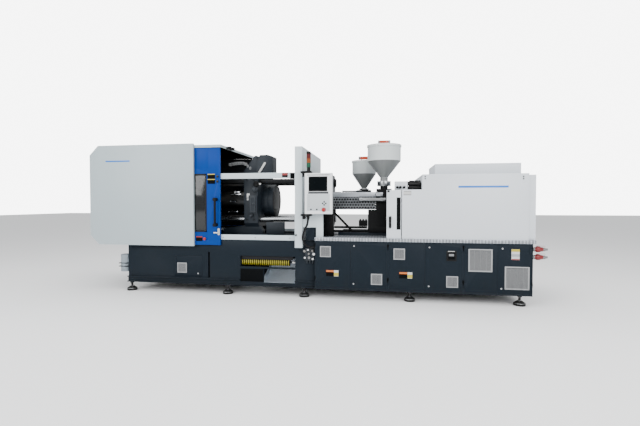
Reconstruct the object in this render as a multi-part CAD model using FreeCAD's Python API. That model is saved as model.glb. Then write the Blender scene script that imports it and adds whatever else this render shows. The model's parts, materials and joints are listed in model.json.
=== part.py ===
"""Two-component injection moulding machine with a rotary mould table.

Layout axes, in millimetres: X runs from the left end of the clamp guard towards the injection end,
Y runs from the plane of the front guards away from the operator, and Z runs up. The feet stand at
FLOOR. Before saving, every piece is shifted so that the origin is on the floor, under the middle.
"""
import FreeCAD, Part
import math
import os

from FreeCAD import Vector

os.makedirs("parts", exist_ok=True)

# clearances
RUN_GAP = 0.3            # sliding and turning faces of different bodies
SHAFT_FIT = 0.05         # radial running fit of a shaft in its bore
PANEL_GAP = 2.0          # sheet doors in their openings

# machine
MACHINE_WIDTH = 1600.0
MID_Y = MACHINE_WIDTH / 2
CENTRE_Z = 1395.0        # mould centre
FLOOR = 45.0
BASE_BOTTOM = 180.0
FLANGE_TOP = 265.0
PLATE = 20.0             # plate thickness of the welded bases
SHEET = 3.0

# clamp guards, sliding doors and their rails
GUARD_LENGTH = 1660.0
GUARD_BOTTOM = 735.0
GUARD_TOP = 2208.0
GUARD_CHAMFER = 141.0
GUARD_DEPTH = 40.0
DOOR_SHOWN = 385.0       # part of the open door that shows beside the guard
MOULD_OPENING = 1105.0
DOOR_OVERLAP = 55.0
DOOR_BOTTOM = 752.0
DOOR_TOP = 2145.0
DOOR_THICK = 33.7
DOOR_SETBACK = 6.0       # behind the guard's folded edge
DOOR_STILE = 212.0
DOOR_LEFT_STILE = 120.0
WINDOW_BOTTOM = 947.0
WINDOW_TOP = 1764.0
WINDOW_THICK = 6.0
RAIL_DEPTH = 36.0
UPPER_RAIL_BOTTOM = 1701.0
UPPER_RAIL_TOP = 1779.0
LOWER_RAIL_TOP = 900.0
COVER_OVERHANG = 15.0
COVER_HEIGHT = 40.0
COVER_GAP = 5.0

# clamp base
CLAMP_BASE_LEFT = 569.0
CLAMP_BASE_TOP = 830.0
WAY_HEIGHT = 55.0
WAY_WIDTH = 110.0
WAY_PITCH = 630.0        # between the two ways, centre to centre
DROP_INSET = 287.0       # from the open door's edge to the part drop window
DROP_WIDTH = 804.0
DROP_BOTTOM = 231.0
DROP_TOP = 602.0
SILL_BOTTOM = 422.0      # plate across the window, under the roller
SILL_TOP = 448.0
ACCESS_LEFT = 1316.0
ACCESS_WIDTH = 434.0
ACCESS_BOTTOM = 274.0
ACCESS_HEIGHT = 311.0
SLOT_LEFT = 1841.0
SLOT_WIDTH = 28.0
SLOT_BOTTOM = 270.0
SLOT_TOP = 646.0

# post and wall between the mould space and the injection side
POST_WIDTH = 105.0
POST_BOTTOM = 738.0
POST_TOP = 2130.0
WALL_THICK = 20.0

# platens and tie bars
PLATEN_WIDTH = 860.0
PLATEN_BOTTOM = 995.0
PLATEN_TOP = 1795.0
PLATEN_CORNER = 60.0
TIE_RADIUS = 40.0
TIE_SPACING_Y = 620.0
TIE_SPACING_Z = 570.0
TIE_NUT_RADIUS = 68.0
TIE_NUT_LENGTH = 28.0
FIXED_PLATEN_THICK = 270.0
PLATEN_TO_WALL = 35.0
MOVING_PLATEN_LEFT = 2285.0
MOVING_PLATEN_THICK = 215.0
REAR_PLATEN_LEFT = 860.0
REAR_PLATEN_THICK = 240.0
PLATEN_STROKE = 330.0
SHOE_LENGTH = 624.0
SHOE_HEIGHT = 131.0
TABLE_RADIUS = 250.0
BEARING_LENGTH = 88.0
TABLE_LENGTH = 88.0
TABLE_SPIGOT_RADIUS = 80.0
TABLE_SPIGOT_LENGTH = 60.0
MOULD_BOLT_SPACING = 280.0
MOULD_BOLT_RADIUS = 8.0
MOULD_BOLT_DEPTH = 40.0
LOCATING_RADIUS = 62.5
LOCATING_DEPTH = 40.0
NOZZLE_HOLE_RADIUS = 75.0
SPRUE_SPACING = 500.0    # between the two injection axes

# hydraulic clamp
RAM_RADIUS = 140.0
RAM_TAIL = 500.0
CYLINDER_LEFT = 300.0
CYLINDER_RADIUS = 200.0
CYLINDER_END = 60.0
TRAVERSE_OFFSET = 250.0
TRAVERSE_RADIUS = 48.0
TRAVERSE_BORE = 34.0
TRAVERSE_ROD = 22.0
TRAVERSE_LENGTH = 560.0
TRAVERSE_GLAND = 40.0

# injection base and its cabinet doors
CABINET_PAIRS = (985.0, 956.0, 833.0)
CABINET_GAP = 173.0      # from the post to the cabinet
CABINET_BOTTOM = 200.0
CABINET_TOP = 840.0
CABINET_DEPTH = 500.0
CABINET_FRAME = 12.0
CABINET_DOOR_THICK = 20.0
INJECTION_BASE_TOP = 881.0
DECK_THICK = 5.0
DECK_LIP = 44.0
DECK_FRONT = -10.0
DECK_DEPTH = 435.0
DECK_WAY_GAP = 120.0     # from a unit's axis to the plate between the two units

# injection covers
COVER_SETBACK = 1166.0   # from the cabinet's left end
COVER_STEP_LENGTH = 258.0
COVER_STEP_Z = 1530.0
COVER_TOP = 1728.0
COVER_LENGTH = 1553.0
END_COVER_LENGTH = 88.0
END_COVER_TOP = 1710.0
END_COVER_INSET = 20.0
TOP_BOX_LENGTH = 1101.0
TOP_BOX_FRONT = 300.0
TOP_BOX_DEPTH = 750.0
TOP_BOX_HEIGHT = 160.0
INNER_GUARD_WIDTH = 188.0
INNER_GUARD_TOP = 1527.0
INNER_GUARD_THICK = 30.0

# operator panel
PANEL_GAP_TO_POST = 60.0
PANEL_WIDTH = 368.0
PANEL_BOTTOM = 1210.0
PANEL_TOP = 1752.0
PANEL_FRONT = -120.0
PANEL_DEPTH = 80.0
SWIVEL_INSET = 38.0
SWIVEL_Y = -80.0
ARM_THICK = 26.0
ARM_GAP = 4.0
PIVOT_RADIUS = 14.0

# injection units: the barrels lie side by side, the second throat stands nearer the platen
FRONT_THROAT = 930.0     # from the cabinet's left end
REAR_THROAT = 616.0
NOZZLE_SEAT_GAP = 10.0   # from the locating bore's floor to the nozzle tip
NOZZLE_LENGTH = 100.0
NOZZLE_RADIUS = 34.0
NOZZLE_ORIFICE = 6.0
BARREL_RADIUS = 60.0
BARREL_BORE = 30.0
UNIT_RETRACT = 115.0     # carriage travel away from the platen
SHOT_STROKE = 150.0
FEED_BLOCK_LENGTH = 220.0
FEED_BLOCK_WIDTH = 210.0
FEED_BLOCK_TOP = 1560.0
UNIT_WAY_HEIGHT = 49.0
UNIT_WAY_WIDTH = 40.0
UNIT_WAY_PITCH = 180.0
SLED_HEIGHT = 80.0
SLED_WIDTH = 260.0
FRONT_PEDESTAL = 703.0   # from the cabinet's left end
REAR_PEDESTAL = 822.0
PEDESTAL_RIGHT = 1040.0
SADDLE_DROP = 140.0      # from the barrel axis to the saddle's foot
SADDLE_HEIGHT = 72.0
UNIT_REAR = 1110.0       # from the throat to the rear plate
UNIT_REAR_PLATE = 40.0
GUIDE_RADIUS = 20.0
GUIDE_PITCH = 160.0
DRIVE_BACK = 710.0       # from the throat to the drive
DRIVE_LENGTH = 120.0
DRIVE_WIDTH = 230.0
DRIVE_HEIGHT = 200.0
MOTOR_RADIUS = 75.0
MOTOR_LENGTH = 180.0
SPINDLE_RADIUS = 25.0
MESH_TO_PLATEN = 15.0
MESH_GAP = 18.0
MESH_BOTTOM = 1260.0
MESH_RIM = 7.0
MESH_TOP = 1515.0

CORD_RADIUS = 14.5

# feet, roller and small parts of the bases
FOOT_STRIP = 180.0
CHANNEL_REACH = 40.0
CHANNEL_WEB = 12.0
CHUTE_BACK = 700.0
CHUTE_BACK_Z = 480.0
WAY_START = 272.0        # from the cabinet's left end
END_FOOT_INSET = 41.0
MIDDLE_FOOT_INSET = 197.0
JOINT_FOOT_INSET = 166.0
CABINET_FOOT = 1272.0
LAST_FOOT_INSET = 127.0
CLAMP_FOOT_REACH = 58.0   # the clamp base's feet stand forward, under its channel
FOOT_PAD_RADIUS = 72.0
FOOT_PAD_HEIGHT = 34.0
FOOT_CROWN = 30.0
FOOT_STUD_RADIUS = 16.0
FOOT_NUT_RADIUS = 30.0
FOOT_NUT_HEIGHT = 24.0
FOOT_INSET = 80.0
CHUTE_LEFT_INSET = 351.0
CHUTE_WALL = 90.0
ROLLER_Y = 180.0
ROLLER_Z = 512.0
ROLLER_SHAFT = 12.0
ROLLER_CORE = 44.0
ROLLER_RIB = 57.0
ROLLER_RIBS = 24
ROLLER_PITCH = 29.5
ROLLER_RIB_WIDTH = 16.0
ROLLER_INSET = 11.0
HINGE_PLATE = 6.0
HINGE_HEIGHT = 60.0
HINGE_INSET = 60.0
HINGE_TONGUE = 30.0

# small parts of the guards and doors
GUARD_WALL = 4.0
BRACKET_INSET = 30.0
END_PANEL = 12.0
HANDLE_INSET = 55.0
HANDLE_LOW = 1018.0
HANDLE_HIGH = 1431.0
HANDLE_RADIUS = 16.0
HANDLE_REACH = 56.0
HANDLE_FOOT = 25.0
KEY_INSET = 33.0
KEY_HEIGHTS = (1733.0, 1662.0)
STOP_INSET = 233.0
STOP_HEIGHT = 840.0
BUTTON_STEM = 11.0
BUTTON_DEPTH = 24.0
BUTTON_CAP = 17.0
BUTTON_CAP_LENGTH = 12.0
BUTTON_TRAVEL = 5.0
STOP_CAP = 20.0
STOP_CAP_LENGTH = 18.0
RAIL_POST = 40.0
NOZZLE_PLATE_BOTTOM = 1021.0
NOZZLE_PLATE_TOP = 1206.0
NOZZLE_LEG_INSET = 189.0
NOZZLE_PLATE_WIDTH = 288.0
NOZZLE_PLATE_Y = 20.0

# small parts of the clamp
HOUSING_FRONT = 480.0
HOUSING_BACK = 760.0
HOUSING_RIGHT = 2684.0
HOUSING_TOP = 2085.0
MANIFOLD_REACH = 40.0
SHOE_NOSE = 60.0
SHOE_HEEL = 80.0
HOUSING_STEP = 160.0
HOUSING_SHOULDER = 58.0
HOUSING_SKIRT = 215.0
HOUSING_NOSE = 20.0
MANIFOLD_WIDTH = 130.0
MANIFOLD_BOTTOM = 1200.0
MANIFOLD_TOP = 1470.0
LEVER_PIVOT_X = 2583.0
LEVER_PIVOT_Z = 1957.0
LEVER_END_X = 2489.0
LEVER_END_Z = 1812.0
LEVER_HALF_WIDTH = 14.0
LEVER_THICK = 20.0

# lamp and panel arms
LAMP_INSET = 46.0
LAMP_RADIUS = 31.0
LAMP_HEIGHT = 261.0
LAMP_FOOT = 40.0
ARM_WIDTH = 142.0
ARM_LUG = 45.0
ARM_FRONT = -112.0
PIVOT_DEPTH = 30.0
PANEL_STOP_INSET = 257.0
PANEL_STOP_RISE = 55.0

# small parts of the covers and services
COVER_WALL = 4.0
INNER_GUARD_GAP = 11.0
INNER_GUARD_TRAVEL = 450.0
GUARD_HANDLE_INSET = 45.0
GUARD_HANDLE_REACH = 45.0
GUARD_HANDLE_RADIUS = 9.0
GUARD_HANDLE_LOW = 1022.0
GUARD_HANDLE_HIGH = 1182.0
PUMP_WIDTH = 155.0
PUMP_BRACKET = 12.0
PUMP_INSET = 60.0
PUMP_BOTTOM = 323.0
PUMP_TOP = 579.0
VALVE_BLOCK_WIDTH = 155.0
VALVE_BLOCK_GAP = 3.0
VALVE_KNOBS = 3
VALVE_KNOB_REACH = 72.0
VALVE_BLOCK_BOTTOM = 521.0
VALVE_BLOCK_TOP = 726.0
WATER_Y = 60.0
WATER_Z = (770.0, 671.0)
WATER_LENGTH = 188.0
WATER_RADIUS = 23.0
WATER_PIPE_RADIUS = 14.0
WATER_STEM_X = 70.0
WATER_STEM_RADIUS = 7.0
WATER_BONNET = 14.0
LEVER_LENGTH = 90.0
LEVER_DEPTH = 16.0

# hoppers and screws
HOPPERS = {
    # outer radius, wall top, cone top, cone bottom, outlet radius, flange bottom, flange top, flange radius
    "front": (239.0, 2180.0, 1962.0, 1727.0, 57.0, 1602.0, 1672.0, 98.0),
    "rear": (188.0, 2012.0, 1816.0, 1600.0, 46.0, 1566.0, 1586.0, 77.0),
}
HOPPER_RIM = 9.0
LID_HEIGHT = 12.0
LID_GAP = 0.3
LID_HINGE = 14.0
LID_HANDLE_LENGTH = 168.0
LID_HANDLE_WIDTH = 40.0
LID_HANDLE_HEIGHT = 45.0
LID_HANDLE_RISE = 26.0
SCREW_TIP = 40.0
SCREW_SOCKET = 60.0

# conduit from the lower arm into the injection base; places count from the post's right face
CORD_RUN_SHARE = 0.45    # of the shorter run that an arc takes
CONDUIT = (
    (98.0, -80.0, 1180.0),
    (98.0, -80.0, 1083.0),
    (44.0, -62.0, 992.0),
    (7.0, -37.0, 891.0),
    (22.0, -4.0, 808.0),
    (81.0, 26.0, 743.0),
    (173.0, 26.0, 743.0),
)


def box(x0, x1, y0, y1, z0, z1):
    return Part.makeBox(x1 - x0, y1 - y0, z1 - z0, Vector(x0, y0, z0))


def rod_x(y, z, radius, x0, x1):
    return Part.makeCylinder(radius, x1 - x0, Vector(x0, y, z), Vector(1, 0, 0))


def rod_y(x, z, radius, y0, y1):
    return Part.makeCylinder(radius, y1 - y0, Vector(x, y0, z), Vector(0, 1, 0))


def rod_z(x, y, radius, z0, z1):
    return Part.makeCylinder(radius, z1 - z0, Vector(x, y, z0), Vector(0, 0, 1))


def cone_z(x, y, r0, r1, z0, z1):
    return Part.makeCone(r0, r1, z1 - z0, Vector(x, y, z0), Vector(0, 0, 1))


def slab_xz(points, y0, y1):
    """Solid with an outline in the XZ plane, from y0 to y1."""
    corners = [Vector(x, y0, z) for x, z in points]
    face = Part.Face(Part.makePolygon(corners + corners[:1]))
    return face.extrude(Vector(0, y1 - y0, 0))


def slab_yz(points, x0, x1):
    """Solid with an outline in the YZ plane, from x0 to x1."""
    corners = [Vector(x0, y, z) for y, z in points]
    face = Part.Face(Part.makePolygon(corners + corners[:1]))
    return face.extrude(Vector(x1 - x0, 0, 0))


def join(shapes):
    return shapes[0].fuse(shapes[1:]).removeSplitter()


def without(shape, tools):
    return shape.cut(tools)


def mirror_y(shape):
    """The same piece on the other side of the machine."""
    return shape.mirror(Vector(0, MID_Y, 0), Vector(0, 1, 0))


# stations that follow from the sizes above
door_right = GUARD_LENGTH + DOOR_SHOWN
door_left = door_right - MOULD_OPENING - DOOR_OVERLAP
door_front = GUARD_DEPTH + DOOR_SETBACK
door_back = door_front + DOOR_THICK
rail_front = door_back + RUN_GAP
rail_back = rail_front + RAIL_DEPTH
base_front = rail_front
base_back = MACHINE_WIDTH - base_front
post_left = door_right + MOULD_OPENING
post_right = post_left + POST_WIDTH
cabinet_left = post_right + CABINET_GAP
cover_left = cabinet_left + COVER_SETBACK
cover_step = cover_left + COVER_STEP_LENGTH
cover_right = cover_left + COVER_LENGTH
end_cover_right = cover_right + END_COVER_LENGTH
inner_guard_left = cover_left - INNER_GUARD_GAP - INNER_GUARD_WIDTH
panel_left = post_right + PANEL_GAP_TO_POST
panel_stop = (panel_left + PANEL_STOP_INSET, PANEL_BOTTOM + PANEL_STOP_RISE)
swivel_x = panel_left + SWIVEL_INSET
lamp_x = panel_left + LAMP_INSET
door_travel = MOULD_OPENING - COVER_GAP
cover_bottom = DOOR_TOP + COVER_GAP
clamp_base_right = cabinet_left
drop_left = door_right + DROP_INSET
drop_right = drop_left + DROP_WIDTH
way_y = [MID_Y - WAY_PITCH / 2, MID_Y + WAY_PITCH / 2]
way_top = CLAMP_BASE_TOP + WAY_HEIGHT
fixed_left = post_right + PLATEN_TO_WALL
fixed_right = fixed_left + FIXED_PLATEN_THICK
moving_right = MOVING_PLATEN_LEFT + MOVING_PLATEN_THICK
rear_right = REAR_PLATEN_LEFT + REAR_PLATEN_THICK
nozzle_tip_x = fixed_left + LOCATING_DEPTH + NOZZLE_SEAT_GAP
mesh_left = fixed_right + MESH_TO_PLATEN
table_left = moving_right + BEARING_LENGTH + RUN_GAP
table_right = table_left + TABLE_LENGTH
tie_points = [
    (MID_Y + side * TIE_SPACING_Y / 2, CENTRE_Z + level * TIE_SPACING_Z / 2)
    for side in (-1, 1)
    for level in (-1, 1)
]
unit_y = {"front": MID_Y - SPRUE_SPACING / 2, "rear": MID_Y + SPRUE_SPACING / 2}
throat_x = {"front": cabinet_left + FRONT_THROAT, "rear": cabinet_left + REAR_THROAT}
pedestal_x = {"front": cabinet_left + FRONT_PEDESTAL, "rear": cabinet_left + REAR_PEDESTAL}
cabinet_right = cabinet_left + sum(CABINET_PAIRS)
way_start = cabinet_left + WAY_START
mesh_half = BARREL_RADIUS + MESH_GAP + MESH_RIM
foot_x = [
    CLAMP_BASE_LEFT + END_FOOT_INSET, drop_left - MIDDLE_FOOT_INSET, cabinet_left - JOINT_FOOT_INSET,
    cabinet_left + CABINET_FOOT, cabinet_right - LAST_FOOT_INSET,
]
deck_top = INJECTION_BASE_TOP + DECK_THICK
unit_way_top = INJECTION_BASE_TOP + UNIT_WAY_HEIGHT
sled_bottom = unit_way_top + RUN_GAP
sled_top = sled_bottom + SLED_HEIGHT


# ---------------------------------------------------------------- bases
def clamp_base():
    """Welded plate frame, open below, with the part drop window in front."""
    x0, x1 = CLAMP_BASE_LEFT, clamp_base_right
    body = box(x0, x1, base_front, base_back, BASE_BOTTOM, CLAMP_BASE_TOP)
    inner_y = (base_front + PLATE, base_back - PLATE)
    bays = [
        (x0 + PLATE, drop_left - PLATE),
        (drop_left, drop_right),
        (drop_right + PLATE, x1 - PLATE),
    ]
    body = without(body, [box(a, b, *inner_y, BASE_BOTTOM, CLAMP_BASE_TOP - PLATE) for a, b in bays])
    strips = [
        box(x0, x1, base_front, base_front + FOOT_STRIP, BASE_BOTTOM, BASE_BOTTOM + PLATE),
        box(x0, x1, base_back - FOOT_STRIP, base_back, BASE_BOTTOM, BASE_BOTTOM + PLATE),
    ]
    way_half = WAY_WIDTH / 2
    ways = [
        box(rear_right + PLATE, post_right, y - way_half, y + way_half, CLAMP_BASE_TOP, way_top)
        for y in way_y
    ]
    channel = box(
        x0, x1, base_front - CHANNEL_REACH, base_front, BASE_BOTTOM, FLANGE_TOP
    )
    channel = without(channel, [box(
        x0, x1, base_front - CHANNEL_REACH, base_front - CHANNEL_WEB,
        BASE_BOTTOM + CHANNEL_WEB, FLANGE_TOP - CHANNEL_WEB,
    )])
    tie_beam = box(
        drop_left, drop_right, CHUTE_BACK, CHUTE_BACK + PLATE, BASE_BOTTOM, CHUTE_BACK_Z,
    )
    body = join([body] + strips + ways + [channel, tie_beam])
    fall_half = WAY_PITCH / 2 - WAY_WIDTH
    openings = [
        box(drop_left, drop_right, base_front - CHANNEL_REACH, base_front + PLATE, DROP_BOTTOM, DROP_TOP),
        box(drop_left + PLATE, drop_right - PLATE, MID_Y - fall_half, MID_Y + fall_half,
            CLAMP_BASE_TOP - PLATE, CLAMP_BASE_TOP),
        box(ACCESS_LEFT, ACCESS_LEFT + ACCESS_WIDTH, base_front, base_front + PLATE,
            ACCESS_BOTTOM, ACCESS_BOTTOM + ACCESS_HEIGHT),
        box(SLOT_LEFT, SLOT_LEFT + SLOT_WIDTH, base_front, base_front + PLATE, SLOT_BOTTOM, SLOT_TOP),
    ]
    shaft_hole = rod_x(ROLLER_Y, ROLLER_Z, ROLLER_SHAFT + SHAFT_FIT, drop_left - PLATE, drop_right + PLATE)
    sill = box(drop_left, drop_right, base_front + SHEET, base_front + PLATE, SILL_BOTTOM, SILL_TOP)
    apron = box(drop_left, drop_left + CHUTE_LEFT_INSET - PANEL_GAP, base_front + SHEET, base_front + PLATE,
                DROP_BOTTOM, SILL_BOTTOM)
    return join([without(body, openings + [shaft_hole]), sill, apron])


def injection_base():
    """Cabinet under the injection units, three bays open to the front behind double doors."""
    x0, x1 = cabinet_left, cabinet_right
    body = box(x0, x1, 0, MACHINE_WIDTH, BASE_BOTTOM, INJECTION_BASE_TOP)
    cuts = []
    left = x0
    for width in CABINET_PAIRS:
        cuts.append(box(left + CABINET_FRAME, left + width - CABINET_FRAME, 0, CABINET_DEPTH,
                        CABINET_BOTTOM, CABINET_TOP))
        left += width
    cuts.append(box(x0 + PLATE, x1 - PLATE, CABINET_DEPTH + PLATE, MACHINE_WIDTH - PLATE - FOOT_STRIP,
                    BASE_BOTTOM, INJECTION_BASE_TOP - PLATE))
    cuts.append(box(x0 + PLATE, x1 - PLATE, MACHINE_WIDTH - PLATE - FOOT_STRIP, MACHINE_WIDTH - PLATE,
                    BASE_BOTTOM + PLATE, INJECTION_BASE_TOP - PLATE))
    body = without(body, cuts)
    half = UNIT_WAY_WIDTH / 2
    ways = []
    for y in unit_y.values():
        for side in (-1, 1):
            middle = y + side * UNIT_WAY_PITCH / 2
            ways.append(box(way_start, unit_rear("front") + UNIT_REAR_PLATE, middle - half, middle + half,
                            INJECTION_BASE_TOP, unit_way_top))
    return join([body] + ways)


def levelling_feet():
    feet = []
    pad_top = FLOOR + FOOT_PAD_HEIGHT
    for x in foot_x:
        front = base_front - CLAMP_FOOT_REACH if x < clamp_base_right else 0.0
        for y in (front + FOOT_INSET, MACHINE_WIDTH - front - FOOT_INSET):
            pad = rod_z(x, y, FOOT_PAD_RADIUS, FLOOR, pad_top)
            crown = cone_z(x, y, FOOT_PAD_RADIUS, FOOT_NUT_RADIUS, pad_top, pad_top + FOOT_CROWN)
            stud = rod_z(x, y, FOOT_STUD_RADIUS, pad_top, BASE_BOTTOM)
            nut = rod_z(x, y, FOOT_NUT_RADIUS, BASE_BOTTOM - FOOT_NUT_HEIGHT, BASE_BOTTOM)
            feet.append(join([pad, crown, stud, nut]))
    return feet


def deck_plate():
    """Folded tread plate over the front of the injection base."""
    top = box(cabinet_left, end_cover_right, DECK_FRONT, DECK_FRONT + DECK_DEPTH,
              INJECTION_BASE_TOP, deck_top)
    lip = box(cabinet_left, end_cover_right, DECK_FRONT, DECK_FRONT + DECK_THICK,
              deck_top - DECK_LIP, deck_top)
    between = box(cabinet_left, cover_left, unit_y["front"] + DECK_WAY_GAP, unit_y["rear"] - DECK_WAY_GAP,
                  INJECTION_BASE_TOP, deck_top)
    return [join([top, lip]), between]


def drop_chute():
    """Galvanised sheet chute from under the mould to the drop window."""
    x0, x1 = drop_left + CHUTE_LEFT_INSET, drop_right - PANEL_GAP
    front = base_front + PLATE + PANEL_GAP
    low, high = DROP_BOTTOM + SHEET, CHUTE_BACK_Z
    floor = slab_yz([
        (base_front, DROP_BOTTOM), (front, DROP_BOTTOM), (CHUTE_BACK, high),
        (CHUTE_BACK, high + SHEET), (front, low), (base_front, low),
    ], x0, x1)
    wall = [(front, DROP_BOTTOM), (CHUTE_BACK, high), (CHUTE_BACK, high + CHUTE_WALL),
            (front, DROP_BOTTOM + CHUTE_WALL)]
    return join([floor, slab_yz(wall, x0, x0 + SHEET), slab_yz(wall, x1 - SHEET, x1)])


def discharge_roller():
    """Ribbed roller turning in the two walls of the drop window."""
    start = drop_left + ROLLER_INSET
    length = (ROLLER_RIBS - 1) * ROLLER_PITCH + ROLLER_RIB_WIDTH
    pieces = [
        rod_x(ROLLER_Y, ROLLER_Z, ROLLER_SHAFT, drop_left - PLATE, drop_right + PLATE),
        rod_x(ROLLER_Y, ROLLER_Z, ROLLER_CORE, start, start + length),
    ]
    for number in range(ROLLER_RIBS):
        x = start + number * ROLLER_PITCH
        pieces.append(rod_x(ROLLER_Y, ROLLER_Z, ROLLER_RIB, x, x + ROLLER_RIB_WIDTH))
    return join(pieces)


def cabinet_doors():
    """Six doors in three pairs, each pair hinged at its outer edges."""
    doors = []
    left = cabinet_left
    for width in CABINET_PAIRS:
        x0, x1 = left + CABINET_FRAME, left + width - CABINET_FRAME
        middle = (x0 + x1) / 2
        for a, b, hinge_x, turn in (
            (x0 + PANEL_GAP, middle - PANEL_GAP / 2, x0, -1),
            (middle + PANEL_GAP / 2, x1 - PANEL_GAP, x1, 1),
        ):
            leaf = box(a, b, 0, CABINET_DOOR_THICK, CABINET_BOTTOM + PANEL_GAP, CABINET_TOP - PANEL_GAP)
            tray = box(a + SHEET, b - SHEET, SHEET, CABINET_DOOR_THICK,
                       CABINET_BOTTOM + PANEL_GAP + SHEET, CABINET_TOP - PANEL_GAP - SHEET)
            pin_x = hinge_x + turn * CABINET_FRAME / 2
            knuckle_x = (min(pin_x, a), max(pin_x, a)) if turn < 0 else (min(b, pin_x), max(b, pin_x))
            knuckles = [
                box(knuckle_x[0], knuckle_x[1], -HINGE_PLATE, -RUN_GAP, z, z + HINGE_HEIGHT)
                for z in (CABINET_BOTTOM + HINGE_INSET, CABINET_TOP - HINGE_INSET - HINGE_HEIGHT)
            ]
            tongues = [
                box(a, a + HINGE_TONGUE, -HINGE_PLATE, 0, z, z + HINGE_HEIGHT) if turn < 0 else
                box(b - HINGE_TONGUE, b, -HINGE_PLATE, 0, z, z + HINGE_HEIGHT)
                for z in (CABINET_BOTTOM + HINGE_INSET, CABINET_TOP - HINGE_INSET - HINGE_HEIGHT)
            ]
            shape = join([without(leaf, [tray])] + tongues + knuckles)
            doors.append((shape, (pin_x, -HINGE_PLATE / 2), turn))
        left += width
    return doors


def clamp_access_door():
    x0, x1 = ACCESS_LEFT + PANEL_GAP, ACCESS_LEFT + ACCESS_WIDTH - PANEL_GAP
    z0, z1 = ACCESS_BOTTOM + PANEL_GAP, ACCESS_BOTTOM + ACCESS_HEIGHT - PANEL_GAP
    back = base_front + PLATE - SHEET
    leaf = box(x0, x1, base_front, back, z0, z1)
    tray = box(x0 + SHEET, x1 - SHEET, base_front + SHEET, back, z0 + SHEET, z1 - SHEET)
    hinges = [
        box(ACCESS_LEFT - CABINET_FRAME / 2, x0 + HINGE_TONGUE, base_front - HINGE_PLATE,
            base_front - RUN_GAP, z, z + HINGE_HEIGHT)
        for z in (z0 + HINGE_TONGUE, z1 - HINGE_TONGUE - HINGE_HEIGHT)
    ]
    tongues = [
        box(x0, x0 + HINGE_TONGUE, base_front - HINGE_PLATE, base_front, z, z + HINGE_HEIGHT)
        for z in (z0 + HINGE_TONGUE, z1 - HINGE_TONGUE - HINGE_HEIGHT)
    ]
    return join([without(leaf, [tray])] + tongues + hinges)


# ---------------------------------------------------------------- guards and doors
def clamp_guards():
    """Front and rear sheet covers, the left end panel and the top cover."""
    low, high, cut = GUARD_BOTTOM, GUARD_TOP, GUARD_CHAMFER
    outline = [(0, low + cut), (0, high - cut), (cut, high), (GUARD_LENGTH, high), (GUARD_LENGTH, low),
               (cut, low)]
    tray = slab_xz(outline, 0, GUARD_DEPTH)
    s = GUARD_WALL
    inner = [(s, low + cut), (s, high - cut), (cut, high - s), (GUARD_LENGTH - s, high - s),
             (GUARD_LENGTH - s, low + s), (cut, low + s)]
    tray = without(tray, [slab_xz(inner, s, GUARD_DEPTH)])
    bracket = box(CLAMP_BASE_LEFT + BRACKET_INSET, door_left - BRACKET_INSET, s, base_front,
                  GUARD_BOTTOM, CLAMP_BASE_TOP - BRACKET_INSET)
    front = join([tray, bracket])
    back = mirror_y(front)
    inside_y = (GUARD_DEPTH, MACHINE_WIDTH - GUARD_DEPTH)
    t = END_PANEL
    end_inner = [(t, low + cut), (t, high - cut), (cut + t, high), (GUARD_LENGTH, high), (GUARD_LENGTH, low),
                 (cut + t, low)]
    end = without(slab_xz(outline, *inside_y), [slab_xz(end_inner, *inside_y)])
    lid = box(cut + t, door_right + COVER_OVERHANG, *inside_y, cover_bottom, cover_bottom + COVER_HEIGHT)
    hollow = box(cut + t + s, door_right + COVER_OVERHANG - s, inside_y[0] + s, inside_y[1] - s,
                 cover_bottom, cover_bottom + COVER_HEIGHT - s)
    return [front, back, end, without(lid, [hollow])]


def door_frame():
    """Sliding door leaf with its window opening, as seen from the front."""
    leaf = box(door_left, door_right, door_front, door_back, DOOR_BOTTOM, DOOR_TOP)
    window = box(door_left + DOOR_LEFT_STILE, door_right - DOOR_STILE, door_front, door_back,
                 WINDOW_BOTTOM, WINDOW_TOP)
    return without(leaf, [window])


def front_door():
    holes = [rod_y(x, z, BUTTON_STEM + RUN_GAP, door_front, door_front + BUTTON_DEPTH)
             for x, z in button_places.values()]
    return without(door_frame(), holes)


def rear_door():
    pane = box(door_left + DOOR_LEFT_STILE, door_right - DOOR_STILE,
               door_front + WINDOW_THICK, door_front + 2 * WINDOW_THICK, WINDOW_BOTTOM, WINDOW_TOP)
    return mirror_y(join([door_frame(), pane]))


def front_door_window():
    return box(door_left + DOOR_LEFT_STILE, door_right - DOOR_STILE,
               door_front + WINDOW_THICK, door_front + 2 * WINDOW_THICK, WINDOW_BOTTOM, WINDOW_TOP)


def front_door_handle():
    x = door_right - HANDLE_INSET
    y = door_front - HANDLE_REACH
    grip = rod_z(x, y, HANDLE_RADIUS, HANDLE_LOW, HANDLE_HIGH)
    feet = [rod_y(x, z, HANDLE_FOOT, y - HANDLE_FOOT, door_front)
            for z in (HANDLE_LOW + HANDLE_FOOT, HANDLE_HIGH - HANDLE_FOOT)]
    return join([grip] + feet)


button_places = {
    "door_key_upper": (door_right - KEY_INSET, KEY_HEIGHTS[0]),
    "door_key_lower": (door_right - KEY_INSET, KEY_HEIGHTS[1]),
    "door_stop_button": (door_right - STOP_INSET, STOP_HEIGHT),
}


def push_button(x, face_y, z, cap_radius, cap_length):
    """Cap and stem of a button; the cap stands one travel clear of the face."""
    back = face_y - BUTTON_TRAVEL - RUN_GAP
    cap = rod_y(x, z, cap_radius, back - cap_length, back)
    stem = rod_y(x, z, BUTTON_STEM, back, face_y + BUTTON_DEPTH - BUTTON_TRAVEL - 2 * RUN_GAP)
    return join([cap, stem])


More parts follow.
